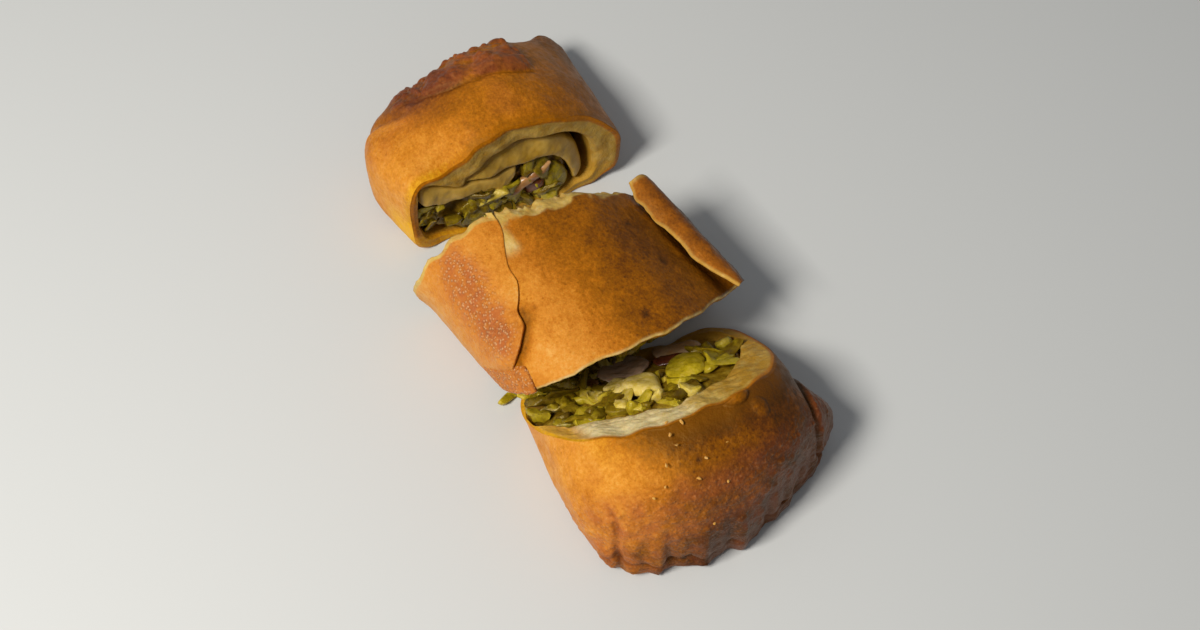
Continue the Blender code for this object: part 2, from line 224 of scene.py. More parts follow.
def outward(grid, closed=True):
    """Unit normals of a grid, away from its rows' middles: the cross product of its two directions."""
    down = np.gradient(grid, axis=0)
    if closed:
        across = np.roll(grid, -1, axis=1) - np.roll(grid, 1, axis=1)
    else:
        across = np.gradient(grid, axis=1)
    normal = np.cross(across, down)
    away = np.sign((normal * (grid - grid.mean(1, keepdims=True))).sum())
    return away * normal / np.maximum(np.linalg.norm(normal, axis=-1, keepdims=True), 1e-9)


def piece_of(name, points, faces, finish, marks, node):
    """One piece of the roll: a smooth mesh with its marks, shown in place of that solid."""
    mesh = bpy.data.meshes.new(name)
    mesh.from_pydata((points * MM).tolist(), [], faces)
    mesh.shade_smooth()
    for mark, values in marks.items():
        mesh.attributes.new(mark, "FLOAT", "POINT").data.foreach_set("value", values.astype(np.float32))
    mesh.materials.append(finish)
    piece = bpy.data.objects.new(name, mesh)
    bpy.context.scene.collection.objects.link(piece)
    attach(piece, "root")
    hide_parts(node)
    return piece


def skin(name, grid, finish, marks, node, sheet=False):
    """A closed body from rings of points: quads between rings, and a fan to the middle of the first and last.

    In a sheet each ring runs out on one side and back on the other, and its ends close from side to side.
    """
    rows, columns, _ = grid.shape
    points = grid.reshape(-1, 3)
    r, c = np.meshgrid(np.arange(rows - 1), np.arange(columns), indexing="ij")
    a, b = r * columns + c, r * columns + (c + 1) % columns
    quads = np.stack([a, a + columns, b + columns, b], -1).reshape(-1, 4)
    base = (rows - 1) * columns
    if sheet:
        c = np.arange(columns // 2 - 1)
        first = np.stack([c, c + 1, columns - 2 - c, columns - 1 - c], -1)
        last = base + first[:, ::-1]
    else:
        points = np.concatenate([points, grid[:1].mean(1), grid[-1:].mean(1)])
        c = np.arange(columns)
        first = np.stack([c, (c + 1) % columns, np.full(columns, rows * columns)], -1)
        last = np.stack([base + (c + 1) % columns, base + c, np.full(columns, rows * columns + 1)], -1)
    corners = points[np.concatenate([quads[:, [0, 1, 2]], quads[:, [0, 2, 3]]])]
    volume = (corners[:, 0] * np.cross(corners[:, 1], corners[:, 2])).sum()
    points[:, 2] = np.maximum(points[:, 2], 0)
    turn = slice(None, None, 1 if volume > 0 else -1)
    faces = quads[:, turn].tolist() + first[:, turn].tolist() + last[:, turn].tolist()
    spread = {}
    for mark, values in marks.items():
        values = np.broadcast_to(values, (rows, columns))
        ends = [] if sheet else [values[0].mean(), values[-1].mean()]
        spread[mark] = np.concatenate([values.reshape(-1), ends])
    return piece_of(name, points, faces, finish, spread, node)


class Nodes:
    """Short words for wiring a material's nodes."""

    def __init__(self, name, roughness):
        self.material = bpy.data.materials.new(name)
        self.material.use_nodes = True
        self.tree = self.material.node_tree
        self.shader = self.tree.nodes["Principled BSDF"]
        self.place = self.tree.nodes.new("ShaderNodeTexCoord").outputs["Object"]
        self.set("Roughness", roughness)

    def join(self, socket, value):
        if isinstance(value, bpy.types.NodeSocket):
            self.tree.links.new(value, socket)
        else:
            socket.default_value = value

    def set(self, socket, value):
        self.join(self.shader.inputs[socket], value)

    def soft(self, share, spread, depth):
        """Lets a share of light sink in, to the depth in millimetres times its red, green and blue spread."""
        self.set("Subsurface Weight", share)
        self.set("Subsurface Radius", spread)
        self.set("Subsurface Scale", depth * MM)

    def mark(self, name):
        node = self.tree.nodes.new("ShaderNodeAttribute")
        node.attribute_name = name
        return node.outputs["Fac"]

    def noise(self, size, detail=3.0, rough=0.55):
        """Noise with features of that size in millimetres, 0 to 1."""
        node = self.tree.nodes.new("ShaderNodeTexNoise")
        self.join(node.inputs["Vector"], self.place)
        node.inputs["Scale"].default_value = 1 / (size * MM)
        node.inputs["Detail"].default_value = detail
        node.inputs["Roughness"].default_value = rough
        return node.outputs["Fac"]

    def cells(self, size):
        """Distance from the nearest of many scattered centres that far apart."""
        node = self.tree.nodes.new("ShaderNodeTexVoronoi")
        self.join(node.inputs["Vector"], self.place)
        node.inputs["Scale"].default_value = 1 / (size * MM)
        return node.outputs["Distance"]

    def sum(self, operation, first, second):
        node = self.tree.nodes.new("ShaderNodeMath")
        node.operation = operation
        for socket, value in zip(node.inputs, (first, second)):
            self.join(socket, value)
        return node.outputs[0]

    def between(self, value, low, high, out_low=0.0, out_high=1.0):
        node = self.tree.nodes.new("ShaderNodeMapRange")
        for socket, setting in zip(node.inputs, (value, low, high, out_low, out_high)):
            self.join(socket, setting)
        return node.outputs[0]

    def mottled(self, value, size, detail, amount, rough=0.55):
        """The value with noise of that size added, up to the amount either way."""
        spots = self.between(self.noise(size, detail, rough), 0.3, 0.7, -amount, amount)
        return self.sum("ADD", value, spots)

    def ramp(self, value, stops):
        """Colour by value through stops of (place, red, green, blue)."""
        node = self.tree.nodes.new("ShaderNodeValToRGB")
        scale = node.color_ramp.elements
        while len(scale) < len(stops):
            scale.new(0.5)
        for element, (place, *colour) in zip(scale, stops):
            element.position = place
            element.color = (*colour, 1)
        self.join(node.inputs["Fac"], value)
        return node.outputs["Color"]

    def mix(self, share, first, second, kind="MIX"):
        node = self.tree.nodes.new("ShaderNodeMix")
        node.data_type = "RGBA"
        node.blend_type = kind
        self.join(node.inputs["Factor"], share)
        for socket, value in ((node.inputs["A"], first), (node.inputs["B"], second)):
            self.join(socket, value)
        return node.outputs["Result"]

    def bump(self, height, distance, strength=1.0, under=None):
        node = self.tree.nodes.new("ShaderNodeBump")
        node.inputs["Strength"].default_value = strength
        node.inputs["Distance"].default_value = distance * MM
        self.join(node.inputs["Height"], height)
        if under is not None:
            self.join(node.inputs["Normal"], under)
        return node.outputs["Normal"]


def fried_dough():
    """Crust from pale gold through amber to dark brown by the mark brown_and_shade: browning and painted
    shade. Painted glints on blisters. Where bare is 1, pale dough.
    """
    m = Nodes("fried_dough", 0.42)
    grainy = m.mottled(m.mottled(m.mark("brown_and_shade"), 4.0, 5.0, 0.07), 0.8, 4.0, 0.13, 0.7)
    grainy = m.sum("ADD", grainy, m.between(m.cells(1.5), 0.08, 0.22, 0.12, 0.0))
    crust = m.ramp(grainy, [(0.0, 0.74, 0.38, 0.085), (0.2, 0.67, 0.262, 0.026), (0.4, 0.50, 0.162, 0.007),
                            (0.55, 0.35, 0.110, 0.003), (0.7, 0.235, 0.072, 0.002),
                            (0.85, 0.13, 0.036, 0.003), (1.0, 0.055, 0.017, 0.004)])
    rust = m.mix(m.between(grainy, 0.3, 0.9), (0.46, 0.130, 0.030, 1), (0.16, 0.036, 0.012, 1))
    blush = m.mix(m.mark("red"), crust, rust)
    # The amber mark: oil-soaked colour. It also carries the painted seam shadow on the middle slice and the
    # painted light at the head's foot.
    oil = [(0.0, 0.78, 0.40, 0.008), (0.4, 0.46, 0.148, 0.002), (0.85, 0.18, 0.058, 0.001)]
    amber_crust = m.mix(m.mark("amber"), blush, m.ramp(grainy, oil))
    # The pale dough darkens by the mark oil_and_shade: oil stain, and painted shade on the head's cut.
    dough = m.ramp(m.sum("ADD", m.noise(2.5, 4.0), m.mark("oil_and_shade")),
                   [(0.15, 0.82, 0.68, 0.36), (0.6, 0.60, 0.40, 0.10), (1.0, 0.45, 0.24, 0.028)])
    blistered = m.mark("blistered")
    # Painted glints: the tops of small cells on blistered crust are mixed towards pale pink-orange, as light
    # sparkling on the blisters.
    painted_glints = m.sum("MULTIPLY", m.between(m.cells(0.85), 0.05, 0.45, 0.66, 0.0),
                 m.sum("MULTIPLY", blistered, blistered))
    crust_with_painted_glints = m.mix(painted_glints, amber_crust, (0.88, 0.53, 0.27, 1))
    m.set("Base Color", m.mix(m.mark("bare"), crust_with_painted_glints, dough))
    rough = m.between(m.noise(2.0, 4.0), 0.3, 0.7, 0.36, 0.6)
    m.set("Roughness", m.sum("MULTIPLY", rough, m.between(blistered, 0.0, 1.0, 1.0, 0.5)))
    m.set("Specular IOR Level", 0.32)
    m.set("Specular Tint", (1.0, 0.72, 0.26, 1))
    tiny = m.bump(m.sum("MULTIPLY", m.between(m.cells(0.85), 0.0, 0.5, 1.0, 0.0), blistered), 0.35, 1.0)
    fine = m.bump(m.noise(0.30, 3.0, 0.6), 0.06, 0.7, tiny)
    m.set("Normal", m.bump(m.noise(1.1, 5.0, 0.65), 0.32, 0.8, fine))
    m.soft(0.10, (1.0, 0.4, 0.1), 1.0)
    return m.material


crust = fried_dough()


def head_section(angle, left_power=2.2):
    """Long slopes either side of the crown; the left flank is pressed upright by a soft tanh bend."""
    y, z = section(angle, head_low[1], head_high[1], HEAD_TOP, left_power=left_power, right_power=1.85)
    flank, bend = -25.0, 4.2
    return np.where(y < flank, flank - bend * np.tanh((flank - y) / bend), y), z


def head_face(y, z):
    """Where the knife went through: nearly upright, wavering a little."""
    return HEAD_CUT - 0.06 * (z - 17) + 0.25 * np.sin(0.7 * y + 0.4 * z) + 0.25 * np.sin(0.33 * y - 1.3)


def head_skin(along, angle):
    """The section drawn out to the closed end. Width, height and length follow eased tables of along."""
    places = [0, 0.08, 0.2, 0.32, 0.44, 0.54, 0.63, 0.70, 0.77, 0.83, 0.88, 0.93, 0.97, 1.0]
    length = eased(along, places,
                   [0, 0.10, 0.24, 0.38, 0.52, 0.64, 0.75, 0.83, 0.90, 0.955, 0.985, 1.0, 1.0, 1.0])
    left = eased(along, places,
                 [1.0, 1.03, 1.08, 1.12, 1.13, 1.10, 1.05, 0.98, 0.89, 0.79, 0.67, 0.48, 0.26, 0.02])
    right = eased(along, places,
                  [0.96, 0.96, 0.96, 0.97, 0.98, 0.99, 1.0, 1.01, 1.02, 1.01, 0.97, 0.85, 0.50, 0.02])
    tall = eased(along, places,
                 [1.0, 1.01, 1.0, 0.98, 0.95, 0.92, 0.88, 0.84, 0.78, 0.69, 0.57, 0.39, 0.2, 0.015])
    lift = eased(along, places, [0, 0, 0, 0, 0, 0, 0.1, 0.5, 2.0, 5.0, 8.5, 11.5, 12.5, 12.5])
    fuller = smooth(along, 0.0, 0.40)
    at_cut, further_on = head_section(angle), head_section(angle, 1.55)
    cut_y, cut_z = (a * (1 - fuller) + b * fuller for a, b in zip(at_cut, further_on))
    sagging = (1 - smooth(along, 0.0, 0.36)) * smooth(cut_z, 14, 22)
    cut_z = cut_z - sagging * (1.4 + 4.2 * np.exp(-((cut_y + 18) / 6.5) ** 2))
    wide = np.where(cut_y < HEAD_MIDDLE, left, right)
    y = HEAD_MIDDLE + (cut_y - HEAD_MIDDLE) * wide
    droop = 1 - 0.22 * length * np.clip((cut_y - HEAD_MIDDLE) / 22, 0, 1) ** 2
    z = lift + (cut_z * droop - lift) * tall
    corner = 3.4 * np.exp(-((y - 24.0) / 5.0) ** 2)
    far = HEAD_FAR + 1.0 - 0.05 * y - corner + 1.6 * np.exp(-((y + 12) / 12) ** 2)
    x = head_face(cut_y, cut_z) * (1 - length) + far * length
    return np.stack(np.broadcast_arrays(x, y, z), -1)


HEAD_COLUMNS, HEAD_ROWS = 420, 170
head_angles = even_angles(head_section, HEAD_COLUMNS)[None, :]
head_along = (np.linspace(0, 1, HEAD_ROWS) ** 1.05)[:, None]
head_grid = head_skin(head_along, head_angles)
head_out = outward(head_grid)
hx, hy, hz = np.moveaxis(head_grid, -1, 0)
off_table = smooth(hz, 0.4, 3.0)
upper = smooth(head_out[..., 2], 0.0, 0.5)

# the ridge: lumps of gathered dough behind a crease, square at the right end
crease_x = eased(hy, [-26, -18.8, -13, -7.9, -3, 2, 6, 9.9, 13],
                 [-60, -57, -54.6, -53.4, -52.2, -52.6, -51.6, -51.0, -51.2])
behind = crease_x - hx + 0.5 * speckle(head_grid, 2.4, 5)
gathered = (smooth(behind, -0.2, 1.1) * smooth(hy, -25, -15) * smooth(-hy, -12.6, -11.2)
            * smooth(head_out[..., 2], -0.3, 0.3))
warped = head_grid + 1.3 * np.stack([speckle(head_grid, 4.5, 6 + k) for k in range(3)], -1)
lumps = 1.0 * blisters(warped * (1, 0.8, 1), 5.2, 9, 0.9) + 0.5 * blisters(warped, 2.4, 10, 0.8)
lobe = np.clip(1 - ((hx + 55.0) / 4.6) ** 2 - ((hy - 5.0) / 7.5) ** 2, 0, 1) ** 0.6
lobe = np.maximum(lobe, 0.85 * np.clip(1 - ((hx + 56.5) / 4.0) ** 2 - ((hy + 9.5) / 5.5) ** 2, 0, 1) ** 0.6)
ridge = gathered * (0.25 + 1.2 * lumps * (1 - 0.55 * lobe) + 1.3 * lobe + 0.45 * cloud(head_grid, 2.6, 12, 4))
crease = np.exp(-((behind - 0.1) / 0.75) ** 2) * smooth(hy, -23, -18) * smooth(-hy, -13, -11) * upper
wrinkle = (hx + 57.0 - 0.55 * (hy + 24)) * 0.8
flank_fold = np.exp(-(wrinkle / 1.1) ** 2) * smooth(-hy, 19, 22) * smooth(hz, 5, 10)
swells = 0.45 * cloud(head_grid, 12, 11, 2)
pores = blisters(head_grid, 1.7, 21, 0.5)
relief = (swells + 0.10 * cloud(head_grid, 1.8, 31, 3) + 0.05 * pores + ridge - 0.35 * crease
          - 0.6 * flank_fold)
relief = relief * off_table * smooth(head_along, 0.0, 0.03) * smooth(-head_along, -1.0, -0.9)
head_outer = head_grid + head_out * relief[..., None]
head_outer[..., 2] = np.maximum(head_outer[..., 2], 0.0)


def outline_through(centre, points):
    """A closed outline through the points: reach eased between them by bearing from the centre."""
    offset = np.array(points, float) - centre
    bearing = np.arctan2(offset[:, 1], offset[:, 0]) % (2 * math.pi)
    order = np.argsort(bearing)
    bearing, reach = bearing[order], np.hypot(*offset[order].T)
    bearing = np.concatenate([bearing[-3:] - 2 * math.pi, bearing, bearing[:3] + 2 * math.pi])
    reach = np.concatenate([reach[-3:], reach, reach[:3]])

    def outline(angle, share=1.0):
        far = eased(angle % (2 * math.pi), bearing, reach) * share
        return centre[0] + far * np.cos(angle), centre[1] + far * np.sin(angle)

    outline.centre = centre
    return outline


def facing(ring, outline):
    """The outline's points that lie on the same bearings from its centre as the ring's points do."""
    return outline(np.arctan2(ring[:, 2] - outline.centre[1], ring[:, 1] - outline.centre[0]))


def cut_face(ring, hollow, face, heading, count, seed, dip=0.8):
    """Rings across a cut, from the crust's edge to the hollow's, and how far in each point lies.

    The soft dough is smeared by the knife: faint ripples follow the layers, and the inner edge sinks by dip.
    """
    share = (np.linspace(0, 1, count)[1:, None]) ** 0.85
    y = ring[:, 1] * (1 - share) + hollow[0] * share
    z = ring[:, 2] * (1 - share) + hollow[1] * share
    plane = face(y, z)
    x = plane + (ring[:, 0] - face(ring[:, 1], ring[:, 2])) * (1 - smooth(share, 0, 0.3))
    grid = np.stack(np.broadcast_arrays(x, y, z), -1)
    inward = np.hypot(y - ring[:, 1], z - ring[:, 2])
    ripple = (0.06 * np.sin(inward * 1.7 + 2.2 * speckle(grid, 6.0, seed))
              + 0.20 * cloud(grid, 3.0, seed + 1, 4))
    grid[..., 0] += (heading * ((ripple + 0.25) * smooth(inward, 0.0, 0.9)
                                - dip * smooth(share, 0.8, 1.0) ** 2))
    grid[..., 2] = np.maximum(grid[..., 2], 0)
    return grid, inward


def blind_wall(ring, depth):
    """From a hollow's mouth straight back, then drawn in to its middle."""
    t = np.linspace(0, 1, 12)[1:, None, None]
    centre = ring.mean(0)
    return centre + (ring - centre) * (1 - 0.06 * t - 0.9 * smooth(t, 0.9, 1.0)) + np.array([depth, 0, 0]) * t


def one_cut(outer, cutting, wall):
    """A slice with one cut: its rings from the closed end to the hollow, and a function that marks them."""
    parts = (outer, cutting, wall)

    def laid(*values):
        outer_mark, *rest = (np.broadcast_to(value, part.shape[:2]) for value, part in zip(values, parts))
        return np.concatenate([outer_mark[::-1], *rest])

    return np.concatenate([outer[::-1], cutting, wall]), laid


head_hollow = outline_through((-8.0, 9.0), [
    (-26.6, 8.0), (-26.8, 14.0), (-26.4, 20.0), (-25.4, 23.2), (-21.5, 22.2), (-17.0, 19.2),
    (-13.5, 20.2), (-8.3, 23.6), (-2.7, 25.8), (3.4, 25.6), (8.5, 24.6), (14.9, 21.9), (18.2, 17.8),
    (19.5, 12.5), (19.8, 7.5), (18.6, 4.2), (14.0, 2.6), (4.0, 2.3), (-8.0, 2.3), (-20.0, 2.4),
    (-24.8, 4.0)])
head_cutting, head_inward = cut_face(head_outer[0], facing(head_outer[0], head_hollow), head_face, 1, 52, 41)
head_all, head_mark = one_cut(head_outer, head_cutting, blind_wall(head_cutting[-1], -15.0))

# brown_and_shade holds the crust's browning and painted shade: darker towards the right side, away from the
# light, and lighter on the left flank near the far end. It is also darker towards the table.
brown_and_shade = (0.43 + 0.12 * cloud(head_grid, 9, 51, 4) + 0.16 * smooth(hy, 0, 22)
           + 0.16 * smooth(-hx, 50, 62) * upper)
brown_and_shade = (brown_and_shade - 0.20 * smooth(-hy, 8, 22) * smooth(hx, -62, -46) + 0.22 * smooth(-hz, -8, -1)
           - 0.04 * pores)
brown_and_shade = (brown_and_shade + 0.26 * spot(hx, hy, -56, -18, 9, 8) - 0.22 * spot(hx, hy, -61, 17, 8, 9)
           + 0.12 * smooth(-head_along, -0.06, -0.02) * smooth(hy, -24, -14))
brown_and_shade = (brown_and_shade + 0.16 * np.clip(ridge, 0, 1) + 0.16 * crease
           - 0.20 * np.exp(-((wrinkle - 2.2) / 1.6) ** 2) * smooth(-hy, 18, 23))
red = (1.1 * smooth(ridge, 0.1, 0.6) * (0.8 + 0.35 * speckle(head_grid, 2.0, 52))
       + 0.5 * spot(hx, hy, -57, -18, 8, 8))
red = red + 0.22 * smooth(cloud(head_grid, 7, 53, 3), 0.0, 0.5)
olive = 0.75 * spot(hx, hy, -62, 20, 8, 8) * upper
rim_oil = 0.9 * smooth(-head_along, -0.075, -0.02)
# The foot near the cut at the lower left is oil-soaked and yellow, and made lighter by painted light: the
# glow thrown up from the table.
soaked_and_lit_foot = smooth(hx, -46, -38) * smooth(-hz, -15, -7) * smooth(-hy, 6, 16)
brown_and_shade = brown_and_shade - 0.34 * soaked_and_lit_foot + 0.10 * spot(hx, hy, -48, -12, 9, 9)
foot_of_cut = smooth(-head_cutting[..., 2], -9.5, -5.5) * smooth(-head_cutting[..., 1], 0, 10)
left_of_cut = smooth(-head_cutting[..., 1], 23.0, 25.5) * smooth(-head_cutting[..., 2], -22, -17)
left_of_cut = np.maximum(foot_of_cut, left_of_cut)
skin("head_crust", head_all, crust, {
    "brown_and_shade": head_mark(brown_and_shade, 0.5 - 0.38 * foot_of_cut + 0.1 * left_of_cut, 0.5),
    "red": head_mark(np.clip(red, 0, 1), 0, 0),
    "bare": head_mark(0, smooth(head_inward, 1.1, 1.7) * (1 - 0.85 * left_of_cut), 1),
    # Painted shade: the head's cut dough is made darker and warmer, most towards the table, as it lies in
    # shade.
    "oil_and_shade": head_mark(0, 0.36 + 0.3 * smooth(-head_cutting[..., 2], -9, -3), 0.6),
    "amber": head_mark(np.clip(olive + rim_oil + 0.9 * soaked_and_lit_foot, 0, 1),
                       np.maximum(1 - smooth(head_inward, 1.3, 1.9), left_of_cut), 0)}, "head_wrapper")


# ---------------- head slice: inner layers of dough
# Further turns of the same sheet lie loose inside the crust. Steam kept them pale and soft, and
# the knife left their edges wavy, with dark gaps between. The one at the left is a flat tongue.

def pale_dough():
    """Cream dough that the oil has stained towards olive, darker by painted shade where the mark deep is
    high.
    """
    m = Nodes("pale_dough", 0.44)
    tone = m.mottled(m.mark("deep"), 3.0, 4.0, 0.12)
    colour = m.ramp(tone, [(0.0, 0.74, 0.55, 0.22), (0.35, 0.59, 0.38, 0.085), (0.7, 0.42, 0.235, 0.022),
                           (1.0, 0.18, 0.095, 0.006)])
    m.set("Base Color", colour)
    m.set("Specular IOR Level", 0.45)
    fine = m.bump(m.noise(0.5, 3.0), 0.05, 0.5)
    m.set("Normal", m.bump(m.noise(1.8, 3.0), 0.16, 0.5, fine))
    m.soft(0.25, (1.0, 0.7, 0.3), 1.5)
    return m.material


dough = pale_dough()


def ribbon(name, node, upper, lower, face, heading, seed, front, deep, depth=10.0, tilt=0.0, bulge=0.4):
    """A sheet of dough cut across, between two curves of Y and Z. It runs back by depth.

    Its front stands out by front + tilt * (2 * share - 1) + bulge * (1 - square), and its edges are round.
    """
    along = np.linspace(0, 1, 170)

    def curve(points):
        points = np.array(points, float)
        run = np.concatenate([[0], np.cumsum(np.hypot(*np.diff(points, axis=0).T))])
        return [eased(along * run[-1], run, places)[:, None] for places in points.T]

    (upper_y, upper_z), (lower_y, lower_z) = curve(upper), curve(lower)
    ends = np.sqrt(np.clip(1 - np.abs(2 * along - 1) ** 14, 0.01, 1))[:, None]
    turn = 0.5 - 0.5 * np.cos(np.linspace(0, math.pi, 26))
    across = np.concatenate([np.zeros(5), turn, np.ones(5)])[None, :]
    back = np.concatenate([[1, 0.7, 0.4, 0.2, 0.08], np.zeros(26), [0.08, 0.2, 0.4, 0.7, 1]])[None, :]
    shrunk = 0.5 + (across - 0.5) * ends
    y = upper_y * (1 - shrunk) + lower_y * shrunk
    z = upper_z * (1 - shrunk) + lower_z * shrunk
    square = (2 * across - 1) ** 2
    edge = 0.7 * (1 - np.sqrt(np.clip(1 - np.clip((np.sqrt(square) - 0.72) / 0.28, 0, 1) ** 2, 0, 1)))
    line = np.stack(np.broadcast_arrays(0 * y, y, z), -1)
    out = front + tilt * (2 * across - 1) + bulge * (1 - square) + 0.45 * cloud(line, 4.5, seed, 3)
    out = (out - edge) * (1 - back) - depth * back - (1 - ends) * 2.5
    grid = np.stack(np.broadcast_arrays(face(y, z) + heading * out, y, z), -1)
    grid += 0.14 * np.stack([speckle(grid, 3.0, seed + 20 + k) for k in range(3)], -1)
    grid += 0.05 * np.stack([speckle(grid, 0.9, seed + 30 + k) for k in range(3)], -1)
    # Painted shade for the mark deep: darker in deeper layers, where the sheet runs back into the slice, and
    # at its rounded edges.
    shade = deep + 0.5 * back + 0.16 * smooth(np.sqrt(square), 0.8, 1.0) + 0.1 * speckle(grid, 2.4, seed + 40)
    return skin(name, grid, dough, {"deep": shade}, node)


ribbon("head_layer_second", "head_wrapper",
       [(-15.8, 18.9), (-12.0, 21.0), (-8.5, 22.5), (-2.7, 24.7), (3.4, 24.3), (7.5, 23.1), (12.5, 20.4),
        (15.4, 16.9), (16.8, 12.0), (17.2, 7.0), (16.6, 3.6)],
       [(-15.4, 18.0), (-12.0, 18.6), (-6.9, 17.5), (-2.8, 17.7), (0.5, 17.6), (3.8, 17.6), (7.5, 17.2),
        (10.8, 14.6), (12.9, 10.5), (14.0, 6.5), (13.9, 3.6)],
       head_face, 1, 61, front=-0.9, tilt=0.8, bulge=0.5, deep=0.58)
ribbon("head_layer_tongue", "head_wrapper",
       [(-26.2, 22.6), (-22.8, 21.4), (-19.5, 19.3), (-16.9, 17.9), (-12.9, 17.5), (-9.5, 16.9), (-6.9, 16.4),
        (-2.8, 16.6), (-0.2, 17.2)],
       [(-26.3, 15.6), (-23.1, 15.2), (-19.6, 13.4), (-16.7, 13.8), (-13.0, 14.0), (-9.5, 12.8), (-7.0, 12.1),
        (-2.9, 12.0), (-0.4, 14.6)],
       head_face, 1, 71, front=-0.3, tilt=0.35, bulge=0.25, deep=0.48)


# ---------------- head slice: filling
# Cabbage and leek chopped fine and fried with onion, packed under the layers. The mass is dark
# and oily; cut leaves and stalks and a long shred of onion stand out of it.

def oily_filling():
    """Dark olive mash with lighter flecks, wet with oil."""
    m = Nodes("oily_filling", 0.3)
    flecks = m.sum("ADD", m.noise(2.2, 5.0, 0.6), m.mark("light"))
    m.set("Base Color", m.ramp(flecks, [(0.3, 0.045, 0.022, 0.003), (0.5, 0.12, 0.062, 0.004),
                                        (0.68, 0.25, 0.145, 0.007), (0.9, 0.42, 0.28, 0.03)]))
    m.set("Normal", m.bump(m.noise(1.2, 4.0), 0.35, 0.7))
    m.soft(0.15, (0.8, 0.7, 0.2), 1.5)
    return m.material


mash = oily_filling()


def filling_body(name, node, outline, face, heading, depth, seed, light=0.0):
    """A lumpy plug: rings swell from the middle of its face to the outline, then run back by depth."""
    angle = np.linspace(0, 2 * math.pi, 150, endpoint=False)[None, :]
    share = np.concatenate([np.linspace(0.02, 1, 46), np.ones(10), np.linspace(0.9, 0.05, 6)])[:, None]
    back = np.concatenate([np.zeros(46), np.linspace(0.05, 1, 10), np.ones(6)])[:, None]
    y, z = outline(angle, share)
    x = face(y, z) - heading * (1.2 * smooth(share, 0.8, 1.0) * (1 - back) + depth * back)
    grid = np.stack([x, y, z], -1)
    bumps = 0.8 * (cloud(grid, 3.2, seed, 3) + 0.8 * blisters(grid, 3.4, seed + 5, 0.8)) * (1 - back)
    grid[..., 0] += heading * bumps
    lit = light + 0.10 * speckle(grid, 2.5, seed + 8) + 0.12 * bumps - 0.05
    return skin(name, grid, mash, {"light": lit}, node)


head_filling_outline = outline_through((-6.0, 7.0), [
    (-26.4, 10.0), (-26.0, 14.4), (-22.0, 14.2), (-16.5, 13.4), (-11.0, 13.0), (-7.0, 12.2),
    (-2.9, 12.4), (0.0, 14.0), (4.0, 15.2), (8.0, 15.0), (11.4, 12.6), (13.0, 9.0), (13.4, 5.6),
    (11.0, 3.2), (0.0, 2.8), (-12.0, 2.8), (-21.0, 3.0), (-25.2, 5.8)])


def head_filling_face(y, z):
    return head_face(y, z) - 1.8


filling_body("head_filling_mass", "head_filling", head_filling_outline, head_filling_face, 1, 12, 91,
             light=0.10)


def cut_vegetable():
    """Wet cooked leaf and stalk: the mark tint runs from cream through lime to olive. Dark browns it."""
    m = Nodes("cut_vegetable", 0.28)
    m.set("Specular IOR Level", 0.4)
    m.set("Specular Tint", (1.0, 0.92, 0.55, 1))
    tint = m.mottled(m.mark("tint"), 1.8, 4.0, 0.20, 0.65)
    colour = m.ramp(tint, [(0.0, 0.76, 0.60, 0.21), (0.25, 0.62, 0.46, 0.065), (0.5, 0.48, 0.365, 0.012),
                           (0.75, 0.26, 0.175, 0.006), (1.0, 0.13, 0.075, 0.004)])
    m.set("Base Color", m.mix(m.mark("dark"), colour, (0.06, 0.030, 0.006, 1)))
    m.set("Normal", m.bump(m.noise(0.7, 4.0, 0.6), 0.22, 0.8))
    m.soft(0.3, (1.0, 0.85, 0.2), 1.2)
    return m.material


vegetable = cut_vegetable()


def turned(first, second, third):
    """Rotation matrices from three arrays of angles, about X, then Y, then Z."""
    zero, one = np.zeros_like(first), np.ones_like(first)
    c, s = np.cos((first, second, third)), np.sin((first, second, third))
    about_x = [one, zero, zero, zero, c[0], -s[0], zero, s[0], c[0]]
    about_y = [c[1], zero, s[1], zero, one, zero, -s[1], zero, c[1]]
    about_z = [c[2], -s[2], zero, s[2], c[2], zero, zero, zero, one]
    turns = (np.stack(about, -1).reshape(-1, 3, 3) for about in (about_z, about_y, about_x))
    return np.einsum("nij,njk,nkl->nil", *turns)


